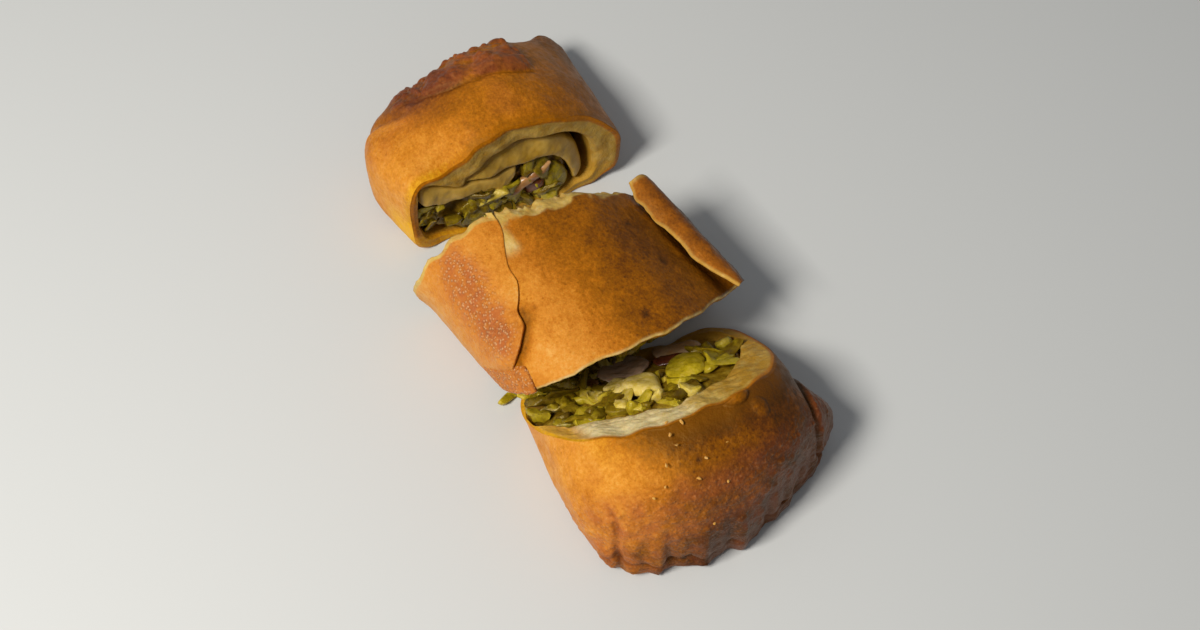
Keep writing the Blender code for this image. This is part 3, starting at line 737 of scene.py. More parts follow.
def chopped(name, centres, sizes, turns, finish, marks, seed, node, slot="chopped_filling",
            blocky=0.55, bend=0.25, rough=0.42, round_to=(6, 9)):
    """Many cut pieces as one mesh: rounded blocks, sign(cos)|cos|^blocky each way, wedged and bent at random.

    Then four random planes slice each: what stands past a plane is pressed back on it as a flat facet.
    """
    rings, spokes = round_to
    up = np.linspace(-math.pi / 2, math.pi / 2, rings + 2)[1:-1][:, None]
    turn = np.linspace(0, 2 * math.pi, spokes, endpoint=False)[None, :]

    def squared(value):
        return np.sign(value) * np.abs(value) ** blocky

    level = squared(np.cos(up))
    shape = np.broadcast_arrays(level * squared(np.cos(turn)), level * squared(np.sin(turn)),
                                squared(np.sin(up)))
    shape = np.concatenate([np.stack(shape, -1).reshape(-1, 3), [[0, 0, -1], [0, 0, 1]]])
    count, corners = len(centres), len(shape)
    chance = np.random.default_rng(seed)
    wedge, skew, curl = (chance.uniform(-1, 1, (count, 1)) for _ in range(3))
    x, y, z = (np.broadcast_to(shape[None, :, k], (count, corners)) for k in range(3))
    body = np.stack([x + 0.35 * skew * y, y * (1 + 0.45 * wedge * x), z * (1 + 0.3 * skew * x)], -1)
    body = body * (np.asarray(sizes) / 2)[:, None, :]
    body[..., 2] += bend * curl * body[..., 0] ** 2
    offset = np.arange(count)[:, None, None] * 37.0
    body += rough * np.stack([speckle(body + offset, 1.3, seed + k) for k in range(3)], -1)
    for _ in range(4):
        normal = chance.normal(0, 1, (count, 1, 3))
        normal /= np.linalg.norm(normal, axis=-1, keepdims=True)
        reach = (np.abs(normal[:, 0]) * np.asarray(sizes) / 2).sum(-1) * chance.uniform(0.5, 0.85, count)
        past = np.clip((body * normal).sum(-1) - reach[:, None], 0, None)
        body -= past[..., None] * normal
    points = np.einsum("nij,nkj->nki", turns, body) + np.asarray(centres)[:, None, :]
    points[..., 2] += np.maximum(0.05 - points[..., 2].min(1, keepdims=True), 0)
    r, c = np.meshgrid(np.arange(rings - 1), np.arange(spokes), indexing="ij")
    a, b = r * spokes + c, r * spokes + (c + 1) % spokes
    quads = np.stack([a, b, b + spokes, a + spokes], -1).reshape(-1, 4)
    c = np.arange(spokes)
    low = np.stack([(c + 1) % spokes, c, np.full(spokes, corners - 2)], -1)
    base = (rings - 1) * spokes
    high = np.stack([base + c, base + (c + 1) % spokes, np.full(spokes, corners - 1)], -1)
    shift = (np.arange(count) * corners)[:, None, None]
    faces = []
    for part in (quads, low, high):
        faces += (part[None] + shift).reshape(-1, part.shape[1]).tolist()
    spread = {mark: np.repeat(np.broadcast_to(values, (count,)), corners) for mark, values in marks.items()}
    pieces = piece_of(name, points.reshape(-1, 3), faces, finish, spread, node)
    pieces.data.set_sharp_from_angle(angle=math.radians(62))
    return pieces


def face_pieces(name, node, outline, face, heading, count, size, seed, tint, dark, out,
                keep=None, slant=0.0, **shape):
    """Chopped pieces bedded flat in a filling's face, long, wide and thin by size. They lean at random."""
    lean = 0.45
    chance = np.random.default_rng(seed)
    y, z = outline(chance.uniform(0, 2 * math.pi, count), np.sqrt(chance.uniform(0, 1, count)) * 0.95)
    if keep is not None:
        chosen = keep(y, z)
        y, z = y[chosen], z[chosen]
    count = len(y)
    x = face(y, z) + heading * out * chance.uniform(0.3, 1.0, count)
    sizes = np.array(size) * chance.uniform(0.55, 1.6, (count, 3))
    turns = turned(chance.uniform(-lean, lean, count), chance.uniform(-lean, lean, count) + math.pi / 2,
                   chance.uniform(-lean, lean, count))
    spin = turned(chance.uniform(0, 2 * math.pi, count), np.zeros(count), np.zeros(count))
    back = turned(*np.array([[0.0], [slant], [0.0]]))[0]
    turns = np.einsum("ij,njk,nkl->nil", back, spin, turns)
    tints = tint + 0.20 * chance.normal(0, 1, count)
    marks = {"tint": np.clip(tints, 0, 1), "dark": dark * chance.uniform(0.2, 1, count)}
    return chopped(name, np.stack([x, y, z], -1), sizes, turns, vegetable, marks, seed + 2, node, **shape)


for kind, count, size, seed, tint, dark, out, shape in (
        ("cabbage", 44, (6.6, 4.8, 1.5), 101, 0.82, 0.3, 0.9,
         {"bend": 0.1, "rough": 0.7, "round_to": (8, 14)}),
        ("leek", 34, (4.4, 3.2, 1.5), 111, 0.90, 0.6, 1.0, {}),
        ("stalk", 12, (3.6, 2.6, 1.8), 121, 0.55, 0.3, 1.1, {})):
    face_pieces(f"head_{kind}", "head_filling", head_filling_outline, head_filling_face, 1,
                count, size, seed, tint, dark, out, **shape)


def cut_slab(name, node, outline, thick, finish, marks, seed, face, heading, lift, dome=3.0, rough=0.2):
    """A flat piece cut through: a smooth outline on a cut face, domed top and underside closing on it.

    It stands from the face by lift, and by thick / 2 * (1 - share ** dome) ** 0.5 either side of that.
    """
    corners = np.array(outline + outline[:1], float)
    turn = np.linspace(0, 1, len(corners))
    fine = np.linspace(0, 1, 97)[:-1]
    table = np.concatenate([corners[-4:-1], corners, corners[1:4]])
    wrapped = np.concatenate([turn[-4:-1] - 1, turn, turn[1:4] + 1])
    y, z = eased(fine, wrapped, table[:, 0]), eased(fine, wrapped, table[:, 1])
    share = np.concatenate([np.linspace(0.04, 0.8, 16), 1 - 0.2 * np.linspace(0.9, 0, 8) ** 2,
                            1 - 0.2 * np.linspace(0.1, 0.9, 8) ** 2, np.linspace(0.8, 0.04, 10)])[:, None]
    side = np.concatenate([np.ones(24), -np.ones(18)])[:, None]
    py, pz = y.mean() + (y - y.mean()) * share, z.mean() + (z - z.mean()) * share
    height = side * thick / 2 * np.sqrt(np.clip(1 - share ** dome, 0, 1)) + lift
    grid = np.stack([face(py, pz) + heading * height, py, pz], -1)
    grid += rough * np.stack([speckle(grid, 2.2, seed + k) for k in range(3)], -1)
    grid += 0.4 * rough * np.stack([speckle(grid, 0.8, seed + 4 + k) for k in range(3)], -1)
    shown = {mark: value(grid) if callable(value) else value for mark, value in marks.items()}
    return skin(name, grid, finish, shown, node)


def onion_layer():
    """Cooked onion by the mark pink: grey-mauve, pinkish tan, rust, then dark wine red. Wet."""
    m = Nodes("onion_layer", 0.26)
    tone = m.mottled(m.mark("pink"), 3.0, 3.0, 0.08)
    m.set("Base Color", m.ramp(tone, [(0.0, 0.46, 0.31, 0.22), (0.3, 0.54, 0.35, 0.20),
                                      (0.55, 0.48, 0.25, 0.085), (0.8, 0.20, 0.06, 0.02),
                                      (1.0, 0.09, 0.018, 0.008)]))
    m.set("Normal", m.bump(m.noise(1.2, 3.0), 0.1, 0.4))
    m.soft(0.3, (1.0, 0.6, 0.4), 1.2)
    return m.material


onion = onion_layer()
for kind, points, thick, finish, marks, seed, lift in (
        ("onion_shred",
         [(-2.4, 7.4), (-1.0, 10.0), (1.6, 12.0), (4.6, 13.4), (8.2, 14.6), (7.6, 12.4),
          (4.4, 10.6), (0.6, 8.2)],
         2.2, onion, {"pink": lambda g: 0.62 + 0.12 * speckle(g, 1.6, 131)}, 133, -0.5),
        ("stalk_cut", [(7.0, 11.4), (9.6, 12.6), (12.4, 9.4), (12.8, 4.6), (9.6, 2.9), (6.8, 5.2)],
         3.0, vegetable, {"tint": 0.60, "dark": 0.35}, 143, -1.3),
        ("leaf_cut", [(-13.8, 10.6), (-10.8, 12.4), (-7.2, 11.4), (-6.4, 8.6), (-8.6, 6.8), (-12.0, 8.0)],
         2.0, vegetable, {"tint": 0.70, "dark": 0.25}, 153, -1.2),
        ("onion_dark", [(1.6, 7.6), (3.6, 9.4), (6.2, 9.0), (6.4, 6.0), (4.0, 4.4), (1.8, 5.2)],
         2.4, onion, {"pink": 0.86}, 163, -1.3)):
    cut_slab(f"head_{kind}", "head_filling", points, thick, finish, marks, seed, head_face, 1, lift)


# ---------------- middle slice: wrapper
# The middle of the roll, turned a little on the table. The sheet laps over itself down the left
# shoulder, and the knife tore its first edge, so the pale inside shows there in a ragged band.

middle_low, middle_high = (np.array(corner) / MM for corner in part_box("middle_wrapper"))
MIDDLE_AT = (middle_low + middle_high)[:2] / 2 + (-2.65, -0.65)
MIDDLE_TURN = math.radians(10)
MIDDLE_TOP = middle_high[2] - 0.5
MIDDLE_FIRST = -17.0             # X of its first cut, in the slice's own line


def middle_place(grid):
    """From the slice's own line to the table: a turn about Z and a shift."""
    c, s = math.cos(MIDDLE_TURN), math.sin(MIDDLE_TURN)
    x = grid[..., 0] * c - grid[..., 1] * s + MIDDLE_AT[0]
    y = grid[..., 0] * s + grid[..., 1] * c + MIDDLE_AT[1]
    return np.stack([x, y, grid[..., 2]], -1)


def middle_section(angle):
    """Rounder on the right; on the left the widest point sits high, and the foot is tucked under."""
    y, z = section(angle, -30.6, 32.5, MIDDLE_TOP, left_power=2.6, right_power=2.2)
    tuck = 2.6 * smooth(-z, -17, 0) * smooth(-y, 15, 28)
    return y + tuck, z


def middle_first(y, z):
    """The first cut runs slantwise across and wavers. At the left shoulder it leans back."""
    leaning_back = 0.16 * np.clip(z - 9, 0, 14) * smooth(-y, 16, 27)
    return (MIDDLE_FIRST + 0.24 * y + leaning_back + 0.4 * np.sin(0.8 * y + 0.3 * z)
            + 0.35 * np.sin(0.37 * y + 2.0))


def middle_second(y, z):
    """The second cut leans out at the top, most of all at the left corner."""
    crown = eased(y, [-34, -28, -17, -7, 3, 15, 34], [28.6, 28.2, 25.2, 26.2, 27.8, 28.2, 28.4])
    lean = eased(y, [-34, -28, -17, -7, 3, 15, 34], [1.02, 0.98, 0.78, 0.58, 0.47, 0.45, 0.45])
    return crown - lean * (MIDDLE_TOP - z) + 0.25 * np.sin(0.6 * y)


def seam_angle(along):
    """Where the lapped edge runs, in degrees round the section, wandering down the left shoulder."""
    places = [0, 0.12, 0.22, 0.33, 0.42, 0.49, 0.55, 0.60, 0.635, 0.71, 0.78, 0.866, 0.93, 1.0]
    degrees = [110, 112, 115.5, 119.5, 120.5, 124.5, 128.5, 129.5, 130.5, 137.5, 145, 154, 157, 159]
    return np.radians(eased(along, places, degrees))


fine_angle = np.linspace(-math.pi / 2, 1.5 * math.pi, 6001)
fine_y, fine_z = middle_section(fine_angle)
fine_step = np.hypot(np.diff(fine_y), np.diff(fine_z)) * np.where(fine_z[1:] < 0.5, 0.35, 1) + 1e-6
fine_length = np.concatenate([[0], np.cumsum(fine_step)])

TOP_COLUMNS, LEFT_COLUMNS, EDGE_COLUMNS, MIDDLE_ROWS = 248, 124, 12, 168
MIDDLE_COLUMNS = TOP_COLUMNS + LEFT_COLUMNS + EDGE_COLUMNS
middle_along = np.linspace(0, 1, MIDDLE_ROWS)[:, None]
seam = seam_angle(middle_along)
seam_at = np.interp(seam, fine_angle, fine_length)
tucked = 1.3                     # how far the lower sheet runs on under the upper one
top_run = np.linspace(0, 1, TOP_COLUMNS)[None, :]
top_angle = np.interp((seam_at + tucked) * (1 - top_run), fine_length, fine_angle)
left_run = np.linspace(0, 1, LEFT_COLUMNS)[None, :]
left_angle = np.interp(fine_length[-1] * (1 - left_run) + (seam_at + 0.4) * left_run, fine_length, fine_angle)
edge_turn = np.linspace(math.pi / 2, -math.pi / 2, EDGE_COLUMNS)[None, :]
edge_angle = np.interp(seam_at + 0.4 - 0.4 * np.cos(edge_turn), fine_length, fine_angle)
lap = eased(middle_along, [0, 0.25, 0.42, 0.52, 0.6, 0.72, 0.79, 0.84, 0.92, 1.0],
            [0.28, 0.30, 0.45, 0.70, 1.2, 1.5, 1.0, 0.2, 0.05, 0.05])
left_lift = lap * np.exp(-((left_angle - seam) / 0.45) ** 2)
edge_lift = lap * (0.5 + 0.5 * np.sin(edge_turn)) + 0.03
sink_lift = -0.12 * np.exp(-(top_run * 60) ** 2) * np.ones_like(seam)
ring_angle = np.concatenate([top_angle, left_angle, edge_angle], 1)
ring_lift = np.concatenate([sink_lift, left_lift, edge_lift], 1)
right_side = smooth(-ring_angle, -0.95, -0.70) * smooth(ring_angle, -1.6, -1.2)
ring_lift = ring_lift - 1.3 * right_side


def crust_at(angle, along, lift):
    """Y and Z of the crust by angle and share of its length, raised by lift. The left flank leans in."""
    y, z = middle_section(angle)
    ahead_y, ahead_z = middle_section(angle + 0.01)
    run_y, run_z = ahead_y - y, ahead_z - z
    run = np.maximum(np.hypot(run_y, run_z), 1e-6)
    leaning = eased(along, [0, 0.12, 0.35, 0.7, 1.0], [0.1, 0.95, 1.25, 1.45, 1.85])
    leaning = leaning * smooth(-y, 12, 28) * smooth(z, 0, 8)
    return y + leaning + (z > 0.01) * lift * run_z / run, np.where(z > 0.01, z - lift * run_y / run, 0)


my, mz = crust_at(ring_angle, middle_along, ring_lift)
shoulder = smooth(my, 5, 22.5) * smooth(ring_angle, 0.3, 0.7) * smooth(-ring_angle, -1.75, -1.6)
mz = mz - 4.0 * shoulder
mx = middle_first(my, mz) * (1 - middle_along) + middle_second(my, mz) * middle_along
middle_grid = np.stack([mx, my, mz], -1)
middle_out = outward(middle_grid)
length = (middle_second(my, mz) - middle_first(my, mz)) * middle_along
upper = smooth(ring_angle, 0.2, 0.6) * smooth(-ring_angle, -3.3, -2.9)
right_of_seam = [np.ones_like(top_angle), np.zeros_like(left_angle), np.zeros_like(edge_angle)]
right_of_seam = np.concatenate(right_of_seam, 1)
band_right = eased(my, [-20, -14, -10, -4, 2, 8, 15, 22, 30], [3.4, 6.4, 5.6, 4.4, 4.6, 4.2, 3.2, 2.2, 1.6])
band_left = eased(my, [-31, -25, -20, -14, -10], [1.2, 1.3, 1.5, 1.8, 2.4])
band = np.where(right_of_seam > 0.5, band_right, band_left)
band = band * (1 + 0.38 * cloud(middle_grid, 2.4, 201, 4))
torn = np.clip(1 - length / band, 0, 1)
worn = smooth(torn, 0.0, 0.3)
pink_patch = np.clip(spot(mx, my, -12.5, -23.6, 8.0, 3.6) + spot(mx, my, -1.5, -24.6, 8.5, 3.3)
                     + 0.6 * spot(mx, my, 6, -26.0, 5, 2.6), 0, 1)
pink_patch = pink_patch * (1 - right_of_seam) * upper
swells = 0.40 * cloud(middle_grid, 12, 211, 2)
small_blisters = blisters(middle_grid, 1.15, 231, 0.8)
relief = swells + 0.10 * cloud(middle_grid, 1.7, 241, 3) + 0.05 * blisters(middle_grid, 1.5, 221, 0.5)
relief = relief + (0.28 * small_blisters + 0.20 * cloud(middle_grid, 1.2, 245, 2)) * pink_patch
pits = blisters(middle_grid, 6.5, 251, 0.35) ** 7
relief = relief - 0.14 * pits
from_seam = np.concatenate([top_run * 38, 0 * left_run, 0 * edge_turn], 1)
torn_relief = -(0.5 + 1.5 * smooth(from_seam, 0.7, 5.0)) * torn ** 1.6
torn_relief = torn_relief + 0.5 * torn * np.exp(-((mz - 19) / 5) ** 2) * smooth(-my, 20, 27)
torn_relief = torn_relief + 0.40 * cloud(middle_grid, 2.0, 261, 4) * smooth(torn, 0.1, 0.6)
relief = (relief + torn_relief) * smooth(mz, 0.4, 3.0)
relief = relief - 0.5 * smooth(middle_along, 0.975, 1.0) ** 2 * smooth(mz, 0.4, 3.0)
spikes = (1 - np.abs(cloud(middle_grid * (0, 1, 1), 2.8, 271, 3))) ** 5 - 0.3
middle_outer = middle_grid + middle_out * relief[..., None]
middle_outer[..., 0] += -1.3 * spikes * smooth(torn, 0.4, 1.0) * upper * (0.35 + 0.65 * right_of_seam)
frayed = 0.22 * cloud(middle_grid * (0, 1, 1), 2.0, 275, 3) * smooth(middle_along, 0.95, 1.0) * upper
middle_outer[..., 0] += frayed
middle_outer[..., 2] = np.maximum(middle_outer[..., 2], 0)

middle_hollow = outline_through((0.0, 12.0), [
    (-26.2, 9.0), (-27.2, 14.0), (-25.6, 20.0), (-18.0, 25.0), (-7.0, 28.0), (6.0, 28.6), (14.0, 25.8),
    (20.5, 21.8), (25.4, 16.0), (26.6, 9.0), (23.0, 4.0), (12.0, 2.6), (0.0, 2.4), (-12.0, 2.6),
    (-22.0, 3.6)])
first_mouth, second_mouth = (facing(ring, middle_hollow) for ring in (middle_outer[0], middle_outer[-1]))
first_face, first_inward = cut_face(middle_outer[0], first_mouth, middle_first, -1, 26, 281)
second_face, second_inward = cut_face(middle_outer[-1], second_mouth, middle_second, 1, 32, 291)
first_wall = blind_wall(first_face[-1], 9.0)
second_wall = blind_wall(second_face[-1], -9.0)
middle_all = np.concatenate([first_wall[::-1], first_face[::-1], middle_outer, second_face, second_wall])

# brown_and_shade: partly browning, partly painted shade that darkens the crust from the lit left shoulder
# over the top to the right side. It is also darker towards the table and lighter at the far left.
brown_and_shade = (0.20 + 0.50 * smooth(my, -19, 3) + 0.08 * smooth(my, 8, 20) + 0.12 * cloud(middle_grid, 8, 301, 4)
           + 0.35 * pits)
brown_and_shade = brown_and_shade + 0.07 * cloud(middle_grid, 2.2, 305, 3) + 0.20 * smooth(-mz, -8, -1)
brown_and_shade = brown_and_shade + pink_patch * (0.18 - 0.2 * small_blisters)
# Painted shadow of the lapped edge: a brown band on the lower sheet beside the seam, faint in the upper half
# and wider lower down. It goes into the amber mark too.
painted_seam_shadow = (np.exp(-(np.maximum(from_seam - 0.9, 0) / 0.85) ** 2)
               * (0.25 + 0.75 * smooth(middle_along, 0.48, 0.62)) * right_of_seam)
brown_and_shade = brown_and_shade - 0.12 * smooth(-my, 27, 30.5) + 0.46 * painted_seam_shadow
red = 1.0 * pink_patch * (0.75 + 0.5 * speckle(middle_grid, 2.0, 302)) + 0.18 * smooth(-my, 2, 14)
bare = np.clip(worn * (0.9 + 0.35 * speckle(middle_grid, 1.2, 303)), 0, 1)
bare = np.maximum(bare, smooth(middle_along, 0.984, 0.996) * (0.8 + 0.3 * speckle(middle_grid, 1.5, 304))
                  * upper)
fresh_strip = right_of_seam * upper * spot(mx, my, -12.0, -12.2, 3.8, 1.9, 4)
bare = np.maximum(bare, 0.85 * fresh_strip)
olive = 0.8 * smooth(my, 12, 20) * upper * right_of_seam * (0.8 + 0.3 * speckle(middle_grid, 4, 306))


def three_parts(first, outer, second):
    """A mark's rows for a slice with two cuts: first wall and cut, crust, second cut and wall."""
    first = np.broadcast_to(first, first_inward.shape)
    second = np.broadcast_to(second, second_inward.shape)
    near, far = (np.full((len(wall), MIDDLE_COLUMNS), cut[-1].mean())
                 for wall, cut in ((first_wall, first), (second_wall, second)))
    return np.concatenate([near, first[::-1], outer, second, far])


skin("middle_crust", middle_place(middle_all), crust, {
    "brown_and_shade": three_parts(0.5, brown_and_shade, 0.5),
    "red": three_parts(0, np.clip(red, 0, 1), 0),
    "bare": three_parts(1, bare, smooth(second_inward, 0.9, 1.5)),
    "oil_and_shade": three_parts(0.25, 0.1 * worn, 0.3),
    "amber": three_parts(0, np.maximum(olive, 0.6 * painted_seam_shadow), 1 - smooth(second_inward, 1.1, 1.7)),
    "blistered": three_parts(0, np.clip(1.3 * pink_patch, 0, 1), 0)}, "middle_wrapper")


# ---------------- middle slice: loose corner
# At the left end of the second cut a tongue of the lower sheet comes out from under the lapped
# edge and hangs over the cut. It fried blistered and orange, and its broken rim is white.

tongue_run = np.linspace(0, 1, 50)[:, None]
tongue_across = np.linspace(0, 1, 64)[None, :]
tongue_angle = (np.radians(143.5 + 2.5 * tongue_run + 3.5 * tongue_run ** 2) * (1 - tongue_across)
                + math.radians(173) * tongue_across)
tongue_front = 1.028 + 0.010 * speckle(np.stack([tongue_across * 26] * 3, -1), 3.0, 331)
tongue_along = (0.822 - 0.075 * tongue_across) * (1 - tongue_run) + tongue_front * tongue_run
tongue_sides = []
for lift in (0.62, -0.45):
    place = np.stack(np.broadcast_arrays(26 * tongue_across, 20 * tongue_run, 0 * tongue_run), -1)
    swell = 0.16 * cloud(place, 3.0, 333, 3) + 0.14 * blisters(place, 1.1, 335, 0.8) * (lift > 0)
    rounded = np.sqrt(np.clip(1 - np.abs(2 * tongue_across - 1) ** 10, 0.02, 1))
    raised = ((0.08 + (lift - 0.08) * rounded) * smooth(tongue_run, -0.25, 0.2)
              - 0.5 * (1 - smooth(tongue_run, 0, 0.16)) + swell)
    y, z = crust_at(tongue_angle, tongue_along, raised - 0.9 * smooth(tongue_run, 0.86, 1.0) ** 2)
    x = middle_first(y, z) * (1 - tongue_along) + middle_second(y, z) * tongue_along
    tongue_sides.append(np.stack([x, y, z], -1))
tongue_rim = smooth(tongue_run, 0.95, 0.99) * np.ones_like(tongue_across)
tongue_brown = 0.36 + 0.30 * np.exp(-(tongue_across / 0.035) ** 2) - 0.16 * blisters(place, 1.1, 335, 0.8)
tongue_brown, tongue_rim = (np.concatenate([one, one[:, ::-1]], 1) for one in (tongue_brown, tongue_rim))
tongue_all = np.concatenate([tongue_sides[0], tongue_sides[1][:, ::-1]], 1)
skin("middle_loose_corner", middle_place(tongue_all), crust, {
    "brown_and_shade": tongue_brown, "bare": tongue_rim, "red": 0.55,
    "blistered": 0.9 * (1 - tongue_rim), "oil_and_shade": -0.2}, "middle_wrapper", sheet=True)


# ---------------- middle slice: curled free edge
# The sheet's outer end comes up the right flank, leaves the roll and curls back over it. Its
# top fried bright orange, and its torn edge is pale.

LIP_ROWS, RIM_COLUMNS = 150, 6
LIP_THICK = 1.35
lip_along = np.linspace(0.0, 1.0, LIP_ROWS)[:, None]
flank_angle = np.linspace(-1.45, math.radians(29), 60)[None, :]
flank_y, flank_z = middle_section(flank_angle)
flank_z = flank_z + 0 * lip_along
flank_y = flank_y + 0 * lip_along
heading = np.arctan2(flank_z[:, -1:] - flank_z[:, -2:-1], flank_y[:, -1:] - flank_y[:, -2:-1])
heading = heading - 0.16
rise = (eased(lip_along, [0, 0.2, 0.5, 0.8, 1.0], [3.6, 3.3, 3.0, 2.6, 2.0])
        + 0.35 * speckle(lip_along * (30, 0, 0), 5.0, 309)[:, None])
curl_radius = eased(lip_along, [0, 0.15, 0.5, 0.85, 1.0], [3.3, 3.7, 3.8, 3.5, 2.6])
edge_y = eased(lip_along, [0, 0.1, 0.3, 0.5, 0.7, 0.85, 1.0], [22.6, 21.7, 21.8, 22.0, 22.6, 24.2, 26.4])
edge_y = edge_y + 0.5 * cloud(lip_along * (30, 0, 0), 4.0, 308, 3)[:, None]
leaving = np.linspace(0, 1, 14)[None, 1:]
rise_y = flank_y[:, -1:] + np.cos(heading) * rise * leaving
rise_z = flank_z[:, -1:] + np.sin(heading) * rise * leaving
centre_y = rise_y[:, -1:] - np.sin(heading) * curl_radius
centre_z = rise_z[:, -1:] + np.cos(heading) * curl_radius
curl_turn = math.pi - np.arcsin(np.clip((edge_y - centre_y) / curl_radius, -0.9, 0.98)) - heading
curl = np.linspace(0, 1, 34)[None, 1:] * curl_turn
curl_y = centre_y + curl_radius * np.sin(heading + curl)
curl_z = centre_z - curl_radius * np.cos(heading + curl)
lip_y = np.concatenate([flank_y, rise_y, curl_y], 1)
lip_z = np.concatenate([flank_z, rise_z, curl_z], 1)
lip_x = middle_first(lip_y, lip_z) * (1 - lip_along) + (middle_second(lip_y, lip_z) - 0.4) * lip_along
lip_skin = np.stack([lip_x, lip_y, lip_z], -1)
lip_out = outward(lip_skin, closed=False)
lip_relief = (0.45 * cloud(lip_skin, 6, 311, 3) + 0.10 * cloud(lip_skin, 1.5, 312, 3)
              + 0.06 * blisters(lip_skin, 1.5, 313))
lip_outer = lip_skin + lip_out * (lip_relief * smooth(lip_z, 0.3, 3))[..., None]
lip_inner = lip_skin - lip_out * (LIP_THICK * (0.85 + 0.2 * speckle(lip_skin, 4, 314)))[..., None]
lip_inner[..., 2] = np.maximum(lip_inner[..., 2], 0.05)
round_turn = np.linspace(0, math.pi, RIM_COLUMNS + 2)[None, 1:-1]
middle_of_edge = (lip_outer[:, -1:] + lip_inner[:, -1:]) / 2
across = (lip_outer[:, -1:] - lip_inner[:, -1:]) / 2
onward = np.cross(np.gradient(middle_of_edge, axis=0), across)
onward = onward / np.linalg.norm(onward, axis=-1, keepdims=True)
if (onward * (lip_skin[:, -1:] - lip_skin[:, -3:-2])).sum() < 0:
    onward = -onward
lip_edge = (middle_of_edge + across * np.cos(round_turn)[..., None]
            + onward * 0.62 * np.sin(round_turn)[..., None])
lip_all = np.concatenate([lip_outer, lip_edge, lip_inner[:, ::-1]], 1)
lip_count = lip_outer.shape[1]
to_edge = np.linspace(0, 1, lip_count)[None, :] * lip_count
# Painted shade: the lip's outer right flank is darker.
lip_brown_and_shade = 0.68 + 0.14 * cloud(lip_outer, 5, 321, 3) + 0.26 * smooth(lip_outer[..., 1], 27.0, 30.5)
lip_brown_and_shade = lip_brown_and_shade - 0.10 * smooth(to_edge, 84, lip_count)
lip_bare = (0.45 * smooth(to_edge, lip_count - 3, lip_count)
            + 0.6 * smooth(-lip_along, -0.04, 0) * smooth(to_edge, 60, 80))


def lip_mark(outside, rim, inside):
    """A mark's values across the curled edge: its outside, the torn rim and its inside."""
    parts = ((outside, lip_count), (rim, RIM_COLUMNS), (inside, lip_count))
    return np.concatenate([np.broadcast_to(value, (LIP_ROWS, columns)) for value, columns in parts], 1)


skin("middle_curled_edge", middle_place(lip_all), crust, {
    "brown_and_shade": lip_mark(lip_brown_and_shade, 0.4, 0.75), "red": lip_mark(0.25, 0, 0),
    "bare": lip_mark(np.clip(lip_bare, 0, 1), 0.7, 0.2), "oil_and_shade": 0.2, "amber": lip_mark(0, 0.3, 0.4)},
    "middle_wrapper", sheet=True)


# ---------------- middle slice: layers and filling
# Inside, the turns of dough and the chopped filling run right through, and show at both cuts.

def placed(thing):
    """Moves a piece's mesh from the middle slice's own line to the table."""
    points = np.empty(len(thing.data.vertices) * 3, np.float32)
    thing.data.vertices.foreach_get("co", points)
    points = middle_place(points.reshape(-1, 3) / MM) * MM
    thing.data.vertices.foreach_set("co", points.astype(np.float32).ravel())
    thing.data.update()


def arc(outline, share, start, end):
    """Points of an outline between two bearings in degrees, drawn in to a share of its reach."""
    y, z = outline(np.radians(np.linspace(start, end, 13)), share)
    return list(zip(y, z))


middle_filling_outline = outline_through((-1.0, 10.0), [
    (-23.4, 8.5), (-22.6, 14.0), (-17.0, 18.5), (-8.0, 20.2), (2.0, 20.4), (10.0, 19.0), (16.0, 15.0),
    (17.8, 9.0), (15.0, 4.2), (6.0, 2.9), (-4.0, 2.8), (-14.0, 2.9), (-21.0, 4.4)])
# each layer's outside and inside as shares of the hollow's reach, and its two ends in degrees
MIDDLE_LAYERS = ((0.955, 0.83, 176, -14), (0.80, 0.70, 150, -10))
for side_name, face, way, seed in (("first", middle_first, -1, 401), ("second", middle_second, 1, 431)):
    for number, (outside, inside, start, end) in enumerate(MIDDLE_LAYERS):
        placed(ribbon(f"middle_layer_{number}_{side_name}", "middle_wrapper",
                      arc(middle_hollow, outside, start, end), arc(middle_hollow, inside, start, end),
                      face, way, seed + 50 + 10 * number, depth=8.0, front=-0.8 - 0.7 * number,
                      deep=0.25 + 0.1 * number))

    def filling_face(y, z, face=face, way=way):
        return face(y, z) - way * 2.2

    placed(filling_body(f"middle_filling_mass_{side_name}", "middle_filling", middle_filling_outline,
                        filling_face, way, 9, seed))
    for kind, count, size, tint, dark, rough in (("cabbage", 64, (6.4, 4.6, 1.5), 0.62, 0.25, 0.7),
                                                 ("leek", 50, (4.4, 3.2, 1.5), 0.78, 0.4, 0.42),
                                                 ("stalk", 24, (3.6, 2.6, 1.7), 0.32, 0.1, 0.42)):
        placed(face_pieces(f"middle_{kind}_{side_name}", "middle_filling", middle_filling_outline,
                           filling_face, way, count, size, seed + count, tint, dark, 1.1,
                           slant=0.45 * (way > 0), bend=0.12, rough=rough))


# ---------------- tail slice: wrapper
# The other end of the roll, cut on a slant so that the filling faces up. The end of the sheet is
# folded round the right corner, and the far end is crimped down on the table.

tail_low, tail_high = (np.array(corner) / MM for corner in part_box("tail_wrapper"))
TAIL_NEAR = tail_low[0] + 0.4
TAIL_FAR = tail_high[0] - 0.9
TAIL_SLANT = 1.0355              # how far the cut runs along for each step up, at 46 degrees


def tail_face(y, z):
    """The slanting cut, from a toe pressed out on the table up to the crown."""
    toe = 3.4 * np.exp(-(z / 3.0) ** 1.5) * smooth(-y, -14, 0)
    return TAIL_NEAR + TAIL_SLANT * z - toe + 0.25 * np.sin(0.5 * y + 0.3 * z) + 0.2 * np.sin(0.9 * y + 1.0)


def tail_section(angle):
    return section(angle, -26.2, 28.8, tail_high[2] - 0.5, left_power=2.0, right_power=2.85, foot_power=4.6)


